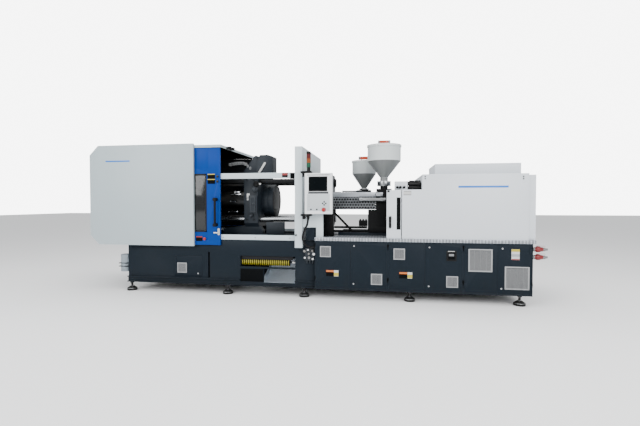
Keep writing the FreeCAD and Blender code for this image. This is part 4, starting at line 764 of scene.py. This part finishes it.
for index, (x, z, radius) in enumerate(((2.465, 1.515, 0.046), (2.450, 1.300, 0.026), (2.410, 1.120, 0.026))):
    steps = [(0, radius), (0.03, radius), (0.034, radius * 0.82), (0.055, radius * 0.78), (0.058, radius * 0.5),
             (0.075, radius * 0.5)]
    spun(f"hose_fitting_{index}", (x, 0.371, z), TOWARDS, steps, 24, casting_edge, "platen", 0.0015)
for index, (x, z, reach, radius) in enumerate(((2.06, 1.440, 0.17, 0.011), (2.12, 1.475, 0.09, 0.016),
                                               (2.02, 1.180, 0.16, 0.010), (2.05, 1.335, 0.10, 0.012))):
    steps = [(0, radius * 1.5), (0.02, radius * 1.5), (0.022, radius), (reach - 0.03, radius),
             (reach - 0.028, radius * 1.35), (reach, radius * 1.35), (reach + 0.003, radius)]
    spun(f"pressure_pipe_{index}", (x, 0.40, z), RIGHT, steps, 20, chrome, "platen")

chain_grey = sprayed("grey chain links", (0.16, 0.165, 0.17), 0.5, 0.2, 0.05, 0.1)
LINK_PITCH, LINK_COUNT = 0.040, 9
chain_links = []
for step in range(LINK_COUNT):
    share = step / (LINK_COUNT - 1)
    x = 2.000 + 0.330 * share
    z = 1.880 + 0.020 * math.sin(share * math.pi) - 0.060 * max(0, share - 0.7) / 0.3
    link = laid("link", (x, 0.482, z), (x + LINK_PITCH * 0.72, 0.540, z + 0.042), 0.002)
    chain_links.append(sunk(coated(link, chain_grey, shadow_black), TOWARDS, 0.007, 0.008, 1))
settle(joined("cable_chain", chain_links), "platen")

fitted("mould_foot", (2.640, 0.335, 0.842), (2.918, 0.366, 1.030), 0.004, casting, "machine")


# Drop chute and discharge roller: folded zinc-coated sheet below the mould space beside a black sheet of painted
# shade, and a roller of yellow moulded ribs on a shaft, with painted black shade between the ribs, small white end
# plates and a dark strip over it as painted shade from above.
zinc = steel("zinc coated sheet", (0.60, 0.67, 0.75), 0.30, 0.12, (40, 40, 6), 0.03, 0.9)
dressed("drop_chute", zinc, 0.001)
roller_yellow = sprayed("yellow polyurethane", (0.25, 0.215, 0.006), 0.52, 0.3, 0.1, 0.1, 260.0, 0.2)
roller_low, roller_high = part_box("discharge_roller")
roller_axis = (roller_low + roller_high) / 2
roller_radius = (roller_high.z - roller_low.z) / 2


# Faces in the gaps and on the rib sides take black: painted shade between the ribs.
def between_ribs(face):
    reach = math.hypot(face.center.y - roller_axis.y, face.center.z - roller_axis.z)
    return 2 if reach < roller_radius * 0.96 or abs(face.normal.x) > 0.5 else 0


dressed("discharge_roller", roller_yellow, 0, roller_yellow, between_ribs, (shadow_black,))
for name, x in (("left", 2.318), ("right", 3.140)):
    fitted(f"roller_plate_{name}", (x, 0.104, 0.425), (x + 0.014, 0.120, 0.510), 0.003, plain_white, "machine")
# A black sheet over the chute's left part: painted shade.
fitted("apron_shade_sheet", (2.336, 0.0765, 0.192), (2.674, 0.0825, 0.372), 0.002, shadow_black, "machine")
# A dark strip over the top of the roller: painted shade from the housing above.
fitted("roller_shade_strip", (2.334, 0.106, 0.503), (3.098, 0.114, 0.556), 0.002, rubber, "machine")
spun("roller_spindle", (3.090, 0.118, 0.470), RIGHT, [(0, 0.012), (0.03, 0.012), (0.032, 0.009), (0.045, 0.009)], 20,
     plain_white, "machine")


# Levelling feet, grease pump and valves: forged feet, a moulded grey pump with two black clamps, ball
# valves with red bodies and plated tails screwed into the right end, and a cluster of plated regulator
# knobs on the base below the post.
foot_black = sprayed("blackened foot iron", (0.004, 0.004, 0.0045), 0.5, 0.25, 0.05, 0.4, 200.0, 0.4, shine=0.25)
dressed("levelling_feet", foot_black, 0.0015, bright_screw)
pump_grey = sprayed("grey pump housing", (0.20, 0.235, 0.265), 0.45, 0.12, 0.05, 0.3)
dressed("grease_pump", pump_grey, 0.0025)
pump_low, pump_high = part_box("grease_pump")
for index, z in enumerate((0.400, 0.352)):
    band = block(f"pump_clamp_{index}", (pump_low.x - 0.0015, pump_low.y - 0.0015, z),
                 (pump_high.x - 0.01, pump_high.y + 0.0015, z + 0.011), 0.001)
    settle(coated(band, rubber), "machine")
nickel = steel("nickel plated brass", (0.24, 0.24, 0.24), 0.26, 0.45, (60, 60, 60), 0.05)
dressed("valve_block", casting_edge, 0.0015, nickel)
dressed("water_valves", nickel, 0.0012)
valve_red = sprayed("red valve paint", (0.17, 0.006, 0.007), 0.38, 0.15, 0.03, 0.1)
dressed("valve_lever_upper", valve_red, 0.0012)
dressed("valve_lever_lower", valve_red, 0.0012)
for name, z in (("upper", 0.725), ("lower", 0.626)):
    barrel = [(0, 0.028), (0.018, 0.028), (0.022, 0.037), (0.060, 0.037), (0.070, 0.030), (0.098, 0.026)]
    spun(f"valve_body_{name}", (6.236, 0.060, z), RIGHT, barrel, 24, valve_red, "machine", 0.0015)
    tail = [(0, 0.020), (0.010, 0.023), (0.026, 0.023), (0.030, 0.017), (0.0505, 0.014)]
    spun(f"hose_tail_{name}", (6.334, 0.060, z), RIGHT, tail, 20, vent_slat_grey, "machine", 0.0008)
knob_places = ((3.285, 0.650), (3.335, 0.668), (3.395, 0.655), (3.415, 0.612), (3.345, 0.615), (3.290, 0.560),
               (3.350, 0.560), (3.400, 0.545))
for index, (x, z) in enumerate(knob_places):
    radius = 0.015 if index % 3 else 0.019
    spun(f"regulator_knob_{index}", (x, 0.030, z), TOWARDS, [(0, radius * 0.6), (0.012, radius * 0.6), (0.014, radius),
         (0.034, radius), (0.037, radius * 0.8)], 12, chrome if index % 2 else nickel, "machine", 0.001)


# Cabinet fittings: enamelled plates with bands of colour stuck to the doors, the hour meter in its moulded
# bezel, and steel hinge knuckles at the hinged edge of each door.
PLATE_PROUD = 0.0022
for number, x in ((1, 3.587), (3, 4.562)):
    plate(f"service_plate_{number}", (x, -PLATE_PROUD, 0.317), (x + 0.106, 0.002, 0.399), [(0, 1, shadow_black),
          (0.68, 1, signal_orange)], f"cabinet_door_{number}", 0.0008)
    plate(f"service_note_{number}", (x + 0.107, -PLATE_PROUD, 0.317), (x + 0.167, 0.002, 0.399), [(0, 1, plain_white),
          (0.05, 0.62, signal_yellow)], f"cabinet_door_{number}", 0.0008)
plate("supply_plate", (5.948, -PLATE_PROUD, 0.592), (6.044, 0.002, 0.728), [(0, 1, plain_white),
      (0.0, 0.10, signal_red), (0.30, 0.55, vent_frame_grey), (0.76, 1, signal_yellow)], "cabinet_door_6",
      0.0008)
meter = coated(laid("meter_bezel", (5.159, -0.004, 0.559), (5.285, 0.002, 0.691), 0.002), black_plastic, shadow_black)
sunk(meter, TOWARDS, 0.018, 0.003, 1)
meter_band = coated(laid("meter_band", (5.178, -0.0045, 0.682), (5.262, 0, 0.689), 0), plain_white)
meter_glass = coated(laid("meter_glass", (5.190, -0.0015, 0.622), (5.254, 0, 0.652), 0.001), vent_slat_grey)
settle(joined("hour_meter", [meter, meter_band, meter_glass]), "cabinet_door_4")
for number in range(1, 7):
    low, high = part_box(f"cabinet_door_{number}")
    hinge_x = low.x - 0.001 if number % 2 else high.x + 0.001
    for name, share in (("lower", 0.14), ("upper", 0.84)):
        foot_z = low.z + (high.z - low.z) * share
        steps = [(0, 0.0055), (0.022, 0.0055), (0.023, 0.0065), (0.045, 0.0065), (0.046, 0.0055), (0.068, 0.0055)]
        knuckle = turned(f"hinge_{number}_{name}", (hinge_x, front_plane - 0.0005, foot_z), UP, steps, 16)
        settle(coated(knuckle, shadow_black), "machine")


# Deck round the injection base: aluminium tread plate with a folded front lip, screwed down along the
# base, worn bright on its lozenges and dirty between them.
def tread_group():
    """Tread plate: raised lozenges laid crossways in turn, bright on their crowns and dirty between."""
    group, given, result = shader_group(
        "tread plate",
        [("Color", "Color", (0.5, 0.5, 0.5, 1)), ("Roughness", "Float", 0.35), ("Pitch", "Float", 0.028)],
        [("Color", "Color"), ("Roughness", "Float"), ("Height", "Float")],
    )
    spot = group.nodes.new("ShaderNodeTexCoord").outputs["Object"]
    apart = linked(group, "ShaderNodeSeparateXYZ", {0: spot})
    across = maths(group, "DIVIDE", apart.outputs["X"], given["Pitch"])
    deep = maths(group, "DIVIDE", apart.outputs["Y"], given["Pitch"])
    turn = maths(group, "MODULO", plus(group, maths(group, "FLOOR", across), maths(group, "FLOOR", deep)), 2)
    side = minus(group, times(group, maths(group, "ABSOLUTE", turn), 2), 1)
    u = minus(group, maths(group, "FRACT", across), 0.5)
    v = times(group, minus(group, maths(group, "FRACT", deep), 0.5), side)
    length = times(group, plus(group, u, v), 1.5)
    width = times(group, minus(group, u, v), 4.5)
    reach = plus(group, maths(group, "POWER", length, 2), maths(group, "POWER", width, 2))
    crown = ramp(group, reach, 1.0, 0.7)
    dirt = ramp(group, noise(group, spot, 16.0, 5), 0.35, 0.7)
    between = minus(group, 0.75, times(group, dirt, 0.30))
    tone = plus(group, times(group, crown, 0.55), between)
    group.links.new(shaded(group, given["Color"], tone), result["Color"])
    group.links.new(plus(group, given["Roughness"], times(group, dirt, 0.2)), result["Roughness"])
    group.links.new(crown, result["Height"])
    return group


tread = finish("aluminium tread plate", tread_group(), {"Color": (0.36, 0.38, 0.41, 1), "Roughness": 0.38,
               "Pitch": 0.040}, 0.9, 0.0018, Metallic=0.75)
dressed("deck_plate", tread, 0.0012, zinc)


# Injection covers and the narrow sliding guard: off-white powder-coated sheet boxes over the drives with
# rivets and a plain plate, hoses and plugs behind their left end, and a dark window strip, catch and bow
# handle on the sliding guard.
cover_white = sprayed("off-white powder coat", (0.60, 0.635, 0.675), 0.42, 0.035, 0.05, 0.10, 620.0, 0.05)
# Lighter off-white on the broken edges and folds: wear and painted highlight.
cover_edge = sprayed("off-white coat at the folds, wear and painted highlight", (0.70, 0.73, 0.76), 0.38, 0.06, 0.05, 0.1)
covers = dressed("injection_covers", cover_white, 0.0022, cover_edge)
panelled(covers, BACK, upright_cuts(5.12, 5.64))
slide_front = front_plane - 0.0005
dressed("injection_guard", cover_white, 0.0012, cover_edge, lambda face: 2 if face.center.y < slide_front else 0,
        (black_plastic,))
plate("cover_bar", (5.300, -0.0012, 1.505), (5.905, 0.002, 1.530), [(0, 1, enamel_blue)], "machine",
      0.0005)
plate("cover_plate", (4.612, -PLATE_PROUD, 1.411), (4.712, 0.002, 1.468), [(0, 1, vent_frame_grey),
      (0.2, 0.8, plain_white)], "machine")
for index, (x, z) in enumerate(((4.886, 1.655), (4.886, 1.626), (6.079, 1.642), (6.079, 1.614))):
    cap_screw(f"cover_rivet_{index}", (x, 0.0005, z), 0.008, "machine", black_plastic)
spun("guard_grip", (4.440, -0.0405, 0.985), UP, [(0, 0.012), (0.004, 0.017), (0.145, 0.017), (0.149, 0.012)], 20,
     rubber, "injection_guard")
strip = coated(laid("guard_window", (4.524, -PLATE_PROUD, 0.958), (4.576, 0.002, 1.384), 0.001), black_plastic,
               shadow_black)
sunk(strip, TOWARDS, 0.007, 0.0015, 1)
BAR_PITCH, FIRST_BAR = 0.045, 0.99
bars = []
for row in range(9):
    z = FIRST_BAR + BAR_PITCH * row
    bars.append(coated(laid("bar", (4.531, -0.0014, z), (4.569, 0.001, z + 0.004), 0), black_plastic))
settle(joined("guard_window", [strip, *bars]), "injection_guard")
fitted("guard_catch", (4.402, -0.006, 1.452), (4.432, 0.002, 1.478), 0.002, black_plastic, "injection_guard")
junction = coated(laid("junction_box", (4.500, 0.100, 1.482), (4.668, 0.230, 1.600), 0.003), cover_white, shadow_black)
settle(sunk(junction, UP, 0.012, 0.003, 1), "machine")
for index, (start, y, z, radius) in enumerate(((4.655, 0.140, 1.560, 0.018), (4.660, 0.190, 1.515, 0.022),
                                               (4.668, 0.120, 1.508, 0.014), (4.660, 0.230, 1.585, 0.016))):
    run = 4.856 - start
    steps = [(0, radius * 1.5), (0.022, radius * 1.5), (0.024, radius), (run - 0.05, radius),
             (run - 0.048, radius * 1.4), (run, radius * 1.4)]
    spun(f"hose_run_{index}", (start, y, z), RIGHT, steps, 20, black_plastic, "machine")
pump_head = coated(laid("pump_head", (4.700, 0.250, 1.486), (4.850, 0.420, 1.620), 0.006), black_plastic, shadow_black)
settle(sunk(pump_head, TOWARDS, 0.015, 0.004, 1), "machine")
for index, (x, reach) in enumerate(((4.535, 0.040), (4.575, 0.052), (4.625, 0.034))):
    spun(f"connector_{index}", (x, 0.098, 1.520), TOWARDS, [(0, 0.018), (0.010, 0.018), (0.013, 0.014), (reach, 0.014),
         (reach + 0.003, 0.010)], 16, black_plastic, "machine", 0.0008)


# Injection units: black cast carriages on the ways, heat-darkened barrels with their jackets in perforated
# steel guards under bright aluminium skirts, and drives with their ground screws.
def perforated_group():
    """Perforated sheet: round holes in staggered rows, cut through, in bright galvanised steel."""
    group, given, result = shader_group(
        "perforated sheet",
        [("Color", "Color", (0.5, 0.5, 0.5, 1)), ("Roughness", "Float", 0.35), ("Pitch", "Float", 0.016)],
        [("Color", "Color"), ("Roughness", "Float"), ("Alpha", "Float"), ("Height", "Float")],
    )
    spot = group.nodes.new("ShaderNodeTexCoord").outputs["Object"]
    apart = linked(group, "ShaderNodeSeparateXYZ", {0: spot})
    across = maths(group, "DIVIDE", apart.outputs["X"], given["Pitch"])
    height = plus(group, apart.outputs["Z"], apart.outputs["Y"])
    rise = maths(group, "DIVIDE", height, given["Pitch"])
    stagger = times(group, maths(group, "FLOOR", rise), 0.5)
    u = minus(group, maths(group, "FRACT", plus(group, across, stagger)), 0.5)
    v = minus(group, maths(group, "FRACT", rise), 0.5)
    reach = plus(group, maths(group, "POWER", u, 2), maths(group, "POWER", v, 2))
    solid = ramp(group, reach, 0.120, 0.140)
    stains = noise(group, spot, 14.0, 4)
    group.links.new(shaded(group, given["Color"], plus(group, stains, 0.5)), result["Color"])
    group.links.new(plus(group, given["Roughness"], swing(group, stains, 0.2)), result["Roughness"])
    group.links.new(solid, result["Alpha"])
    group.links.new(ramp(group, reach, 0.13, 0.20), result["Height"])
    return group


unit_black = sprayed("black machine paint", (0.0014, 0.0016, 0.002), 0.48, 0.3, 0.02, 0.1, 220.0, 0.3, shine=0.10)
# Lighter black on the broken edges: wear and painted highlight; also the colour of the hopper flanges.
unit_edge = sprayed("black paint at the edges, wear and painted highlight", (0.010, 0.011, 0.012), 0.42, 0.3, 0.03, 0.1, shine=0.3)
perforated = finish("perforated steel", perforated_group(), {"Color": (0.13, 0.137, 0.145, 1), "Roughness": 0.38,
                    "Pitch": 0.040}, 0.4, 0.001, Metallic=0.8)
silver = steel("bright aluminium sheet", (0.36, 0.38, 0.41), 0.32, 0.08, (6, 260, 260), 0.05, 0.85)
heated_steel = steel("heat-darkened barrel steel", (0.030, 0.028, 0.027), 0.42, 0.5, (6, 200, 200), 0.06, 0.9)
for unit, throat, depth in (("front", 4.358, 0.55), ("rear", 4.044, 1.05)):
    dressed(f"{unit}_carriage", unit_black, 0.002, unit_edge)
    dressed(f"{unit}_barrel", heated_steel, 0.001)
    dressed(f"{unit}_barrel_guard", perforated, 0.0012, silver, lambda face: 2 if face.normal.z > 0.7 else 0, (silver,))
    dressed(f"{unit}_drive", unit_black, 0.002, unit_edge)
    dressed(f"{unit}_screw", ground_steel, 0)
    guard_low, guard_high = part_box(f"{unit}_barrel_guard")
    skirt = block(f"{unit}_guard_skirt", (guard_low.x + 0.01, guard_low.y - 0.003, guard_high.z - 0.068),
                  (guard_high.x - 0.004, guard_low.y + 0.002, guard_high.z - 0.004), 0.0012)
    settle(coated(skirt, silver), f"{unit}_unit")
    wall, gauge = 0.012, 0.003
    inner_low, inner_high = guard_low + Vector((wall,) * 3), guard_high - Vector((wall,) * 3)
    jacket = [
        block("front", inner_low, (inner_high.x, inner_low.y + gauge, inner_high.z), 0.0008),
        block("back", (inner_low.x, inner_high.y - gauge, inner_low.z), inner_high, 0.0008),
        block("foot", inner_low, (inner_high.x, inner_high.y, inner_low.z + gauge), 0.0008),
    ]
    settle(joined(f"{unit}_heat_jacket", [coated(side, shadow_black) for side in jacket]), f"{unit}_unit")
    spun(f"{unit}_guard_rod", (throat - 0.61, depth - 0.04, 1.482), RIGHT, [(0, 0.008), (0.002, 0.010), (0.238, 0.010),
         (0.240, 0.008)], 16, unit_black, f"{unit}_unit")
    fitted(f"{unit}_feed_plate", (throat - 0.11, depth - 0.122, 1.407), (throat - 0.015, depth - 0.108, 1.462), 0.003,
           silver, f"{unit}_unit")


# Front unit fittings: the ground shot cylinder beside the barrel, the bolted tie block, and the blackened
# traverse bars, bracket, pillar, duct and stay between the carriage and the fixed platen.
throat, depth = 4.358, 0.55
shot = [(0, 0.014), (0.008, 0.018), (0.010, 0.028), (0.060, 0.028), (0.062, 0.025), (0.300, 0.025), (0.302, 0.030),
        (0.384, 0.030)]
spun("shot_cylinder", (throat - 0.357, depth - 0.165, 1.358), RIGHT, shot, 28, ground_steel, "front_unit",
     0.001)
fitted("tie_block", (4.001, depth - 0.130, 0.976), (4.125, depth - 0.070, 1.060), 0.004, unit_black, "front_unit")
for index in range(3):
    spun(f"tie_screw_{index}", (4.022 + 0.041 * index, depth - 0.100, 1.059), UP, [(0, 0.013), (0.018, 0.013),
         (0.020, 0.011)], 6, unit_black, "front_unit", 0.001)
for index, (start, end, z) in enumerate(((3.640, 4.120, 0.957), (3.560, 4.330, 0.902))):
    run = end - start
    spun(f"traverse_bar_{index}", (start, depth - 0.100, z), RIGHT, [(0, 0.012), (0.004, 0.016), (run - 0.004, 0.016),
         (run, 0.012)], 20, unit_black, "front_unit")
for name, low, high, colour in (
    ("stay_bracket", (3.592, 0.452, 1.140), (3.664, 0.500, 1.214), unit_black),
    ("nozzle_pillar", (3.518, 0.200, 0.841), (3.654, 0.330, 1.148), unit_black),
    ("wiring_duct", (3.300, 0.030, 0.797), (3.422, 0.100, 0.969), slate),
):
    fitted(name, low, high, 0.004, colour, "machine")
spun("stay_rod", (3.640, 0.470, 1.172), (0.70, -0.16, -0.70), [(0, 0.014), (0.003, 0.016), (0.372, 0.016),
     (0.375, 0.013)], 16, unit_black, "machine")


# Hoppers: rolled steel with a light grey enamel, the cone painted darker as shade, iron flanges round a bright
# throat bolted to the carriage, and a pressed lid with an orange plastic handle between grey ends.
hopper_grey = sprayed("light grey enamel", (0.56, 0.60, 0.60), 0.34, 0.05, 0.05, 0.0, 900.0, 0.03)
# The cone's darker grey is painted shade under the hopper.
hopper_cone_shade = sprayed("grey cone painted as shade", (0.155, 0.164, 0.164), 0.36, 0.08, 0.03, 0.0)
handle_orange = sprayed("orange plastic", (0.36, 0.034, 0.006), 0.38, 0.12, 0.03, 0.0)
HANDLE_FOOT = 0.031


def hopper_faces(wall_foot, flange_top, flange_foot):
    """Enamelled wall, cone painted darker as shade, black flanges and the bright upright faces of the throat."""

    def chosen(face):
        if face.center.z < flange_top:
            return 4 if abs(face.normal.z) < 0.5 and face.center.z > flange_foot else 3
        return 2 if face.center.z < wall_foot - 0.002 else 0

    return chosen


for unit, levels in (("front", (1.917, 1.640, 1.562)), ("rear", (1.771, 1.545, 1.505))):
    dressed(f"{unit}_hopper", hopper_grey, 0.001, hopper_grey, hopper_faces(*levels),
            (hopper_cone_shade, unit_edge, ground_steel))
    lid_low, lid_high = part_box(f"{unit}_hopper_lid")
    dressed(f"{unit}_hopper_lid", hopper_grey, 0.0015, handle_orange,
            lambda face: 2 if face.center.z > lid_low.z + HANDLE_FOOT else 0, (handle_orange,))
    lid_x, lid_y = (lid_low.x + lid_high.x) / 2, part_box(f"{unit}_carriage")[0].y + 0.13
    ends = [coated(block("end", (lid_x + side * 0.075 - 0.014, lid_y - 0.026, lid_high.z - 0.046),
                         (lid_x + side * 0.075 + 0.014, lid_y + 0.026, lid_high.z - 0.001), 0.006, 3), chain_grey)
            for side in (-1, 1)]
    settle(joined(f"{unit}_lid_handle_ends", ends), f"{unit}_hopper_lid")


# Control panel: a white moulded case on two black arms, with a dark screen behind glass, soft keys, a
# membrane field with a cross of arrow keys, and the red stop button in its ring.
panel_white = sprayed("white moulded case", (0.72, 0.74, 0.75), 0.42, 0.03, 0.03, 0.0, 900.0, 0.08)
# Lighter white on the broken edges: wear and painted highlight.
panel_edge = sprayed("white case at the edges, wear and painted highlight", (0.74, 0.75, 0.76), 0.38, 0.04, 0.05, 0.0)
dressed("panel_case", panel_white, 0.006, panel_edge)
dressed("panel_arms", black_plastic, 0.0015)
dressed("emergency_button", button_red, BUTTON_EDGE)
screen_glass = sprayed("screen glass", (0.0010, 0.0022, 0.0030), 0.22, 0.1, 0.0, 0.0, 60.0, 0.01, shine=0.06)
membrane = sprayed("membrane keys", (0.44, 0.475, 0.495), 0.5, 0.03, 0.03, 0.0)
key_grey = sprayed("grey keys", (0.035, 0.038, 0.044), 0.45, 0.08, 0.05, 0.0)
bezel = coated(laid("screen_bezel", (3.366, -0.1225, 1.465), (3.620, -0.118, 1.663), 0.003), black_plastic,
               screen_glass)
settle(sunk(bezel, TOWARDS, 0.012, 0.0015, 1), "panel")
fitted("panel_slot", (3.346, -0.1206, 1.678), (3.649, -0.119, 1.686), 0.0004, shadow_black, "panel")
fitted("key_field", (3.345, -0.1212, 1.205), (3.652, -0.119, 1.430), 0.001, membrane, "panel")
keys = [coated(laid("key_strip", (3.362, -0.1214, 1.433), (3.634, -0.119, 1.460), 0.0006), key_grey)]
for column in range(13):
    x = 3.366 + 0.0205 * column
    keys.append(coated(laid("key", (x, -0.1228, 1.436), (x + 0.016, -0.119, 1.457), 0.0012, 1), key_grey))
for row in range(6):
    for column in range(3):
        x, z = 3.366 + 0.034 * column, 1.402 - 0.028 * row
        keys.append(coated(laid("key", (x, -0.1222, z), (x + 0.014, -0.120, z + 0.010), 0.001, 1),
                           membrane if column else vent_frame_grey))
for x, z in ((3.578, 1.325), (3.578, 1.285), (3.599, 1.305), (3.557, 1.305)):
    keys.append(coated(laid("arrow", (x - 0.010, -0.1228, z - 0.009), (x + 0.010, -0.120, z + 0.009), 0.0015, 1),
                       shadow_black))
for x in (3.400, 3.479):
    keys.append(coated(laid("switch", (x - 0.010, -0.1245, 1.213), (x + 0.010, -0.120, 1.233), 0.002, 1), shadow_black))
settle(joined("panel_keys", keys), "panel")
RING_WIDTH = 0.0078
ring = turned("stop_ring", place(3.572, -0.1195, 1.220), TOWARDS, [(0, 0.030), (0.0016, 0.030), (0.0022, 0.029)], 28)
pick(coated(ring, signal_red), lambda face: abs(face.normal.y) > 0.9)
bpy.ops.mesh.inset(thickness=RING_WIDTH)
bpy.ops.mesh.delete(type="FACE")
bpy.ops.mesh.select_all(action="DESELECT")
bpy.ops.mesh.select_mode(type="EDGE")
bpy.ops.mesh.select_non_manifold()
bpy.ops.mesh.bridge_edge_loops()
bpy.ops.mesh.select_all(action="SELECT")
bpy.ops.mesh.normals_make_consistent()
bpy.ops.mesh.select_mode(type="FACE")
bpy.ops.object.mode_set(mode="OBJECT")
settle(ring, "panel")


# Stack lamp: moulded red, amber and green lens drums, stacked and clamped between a black cap and a black
# foot on the post.
lamp_low, lamp_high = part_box("stack_lamp")
lamp_x, lamp_y = (lamp_low.x + lamp_high.x) / 2, (lamp_low.y + lamp_high.y) / 2
lamp_height = lamp_high.z - lamp_low.z
LAMP_RADIUS, LENS_RADIUS, LAMP_COLLAR = 0.0305, 0.028, 0.004
lenses = [
    sprayed(f"{name} lens", colour, 0.3, 0.12, 0.02, 0.0, 60.0, 0.05, shine=0.2)
    for name, colour in (("red", (0.070, 0.003, 0.003)), ("amber", (0.20, 0.046, 0.007)),
                         ("green", (0.004, 0.068, 0.034)))
]
lamp_parts = []
for name, start, end, radius, colour in (
    ("foot", 0.0, 0.20, 0.024, black_plastic),
    ("green", 0.20, 0.42, LENS_RADIUS, lenses[2]),
    ("amber", 0.42, 0.65, LENS_RADIUS, lenses[1]),
    ("red", 0.65, 0.88, LENS_RADIUS, lenses[0]),
    ("cap", 0.88, 1.0, LAMP_RADIUS, black_plastic),
):
    span = lamp_height * (end - start)
    steps = [(0, LAMP_RADIUS), (LAMP_COLLAR, LAMP_RADIUS), (LAMP_COLLAR + 0.001, radius), (span - 0.0016, radius),
             (span, radius - 0.001)]
    drum = turned(name, (lamp_x, lamp_y, lamp_low.z + lamp_height * start), UP, steps, 28)
    lamp_parts.append(coated(drum, colour))
lamp = joined("stack_lamp_drums", lamp_parts)
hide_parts("stack_lamp")
settle(lamp, "machine")
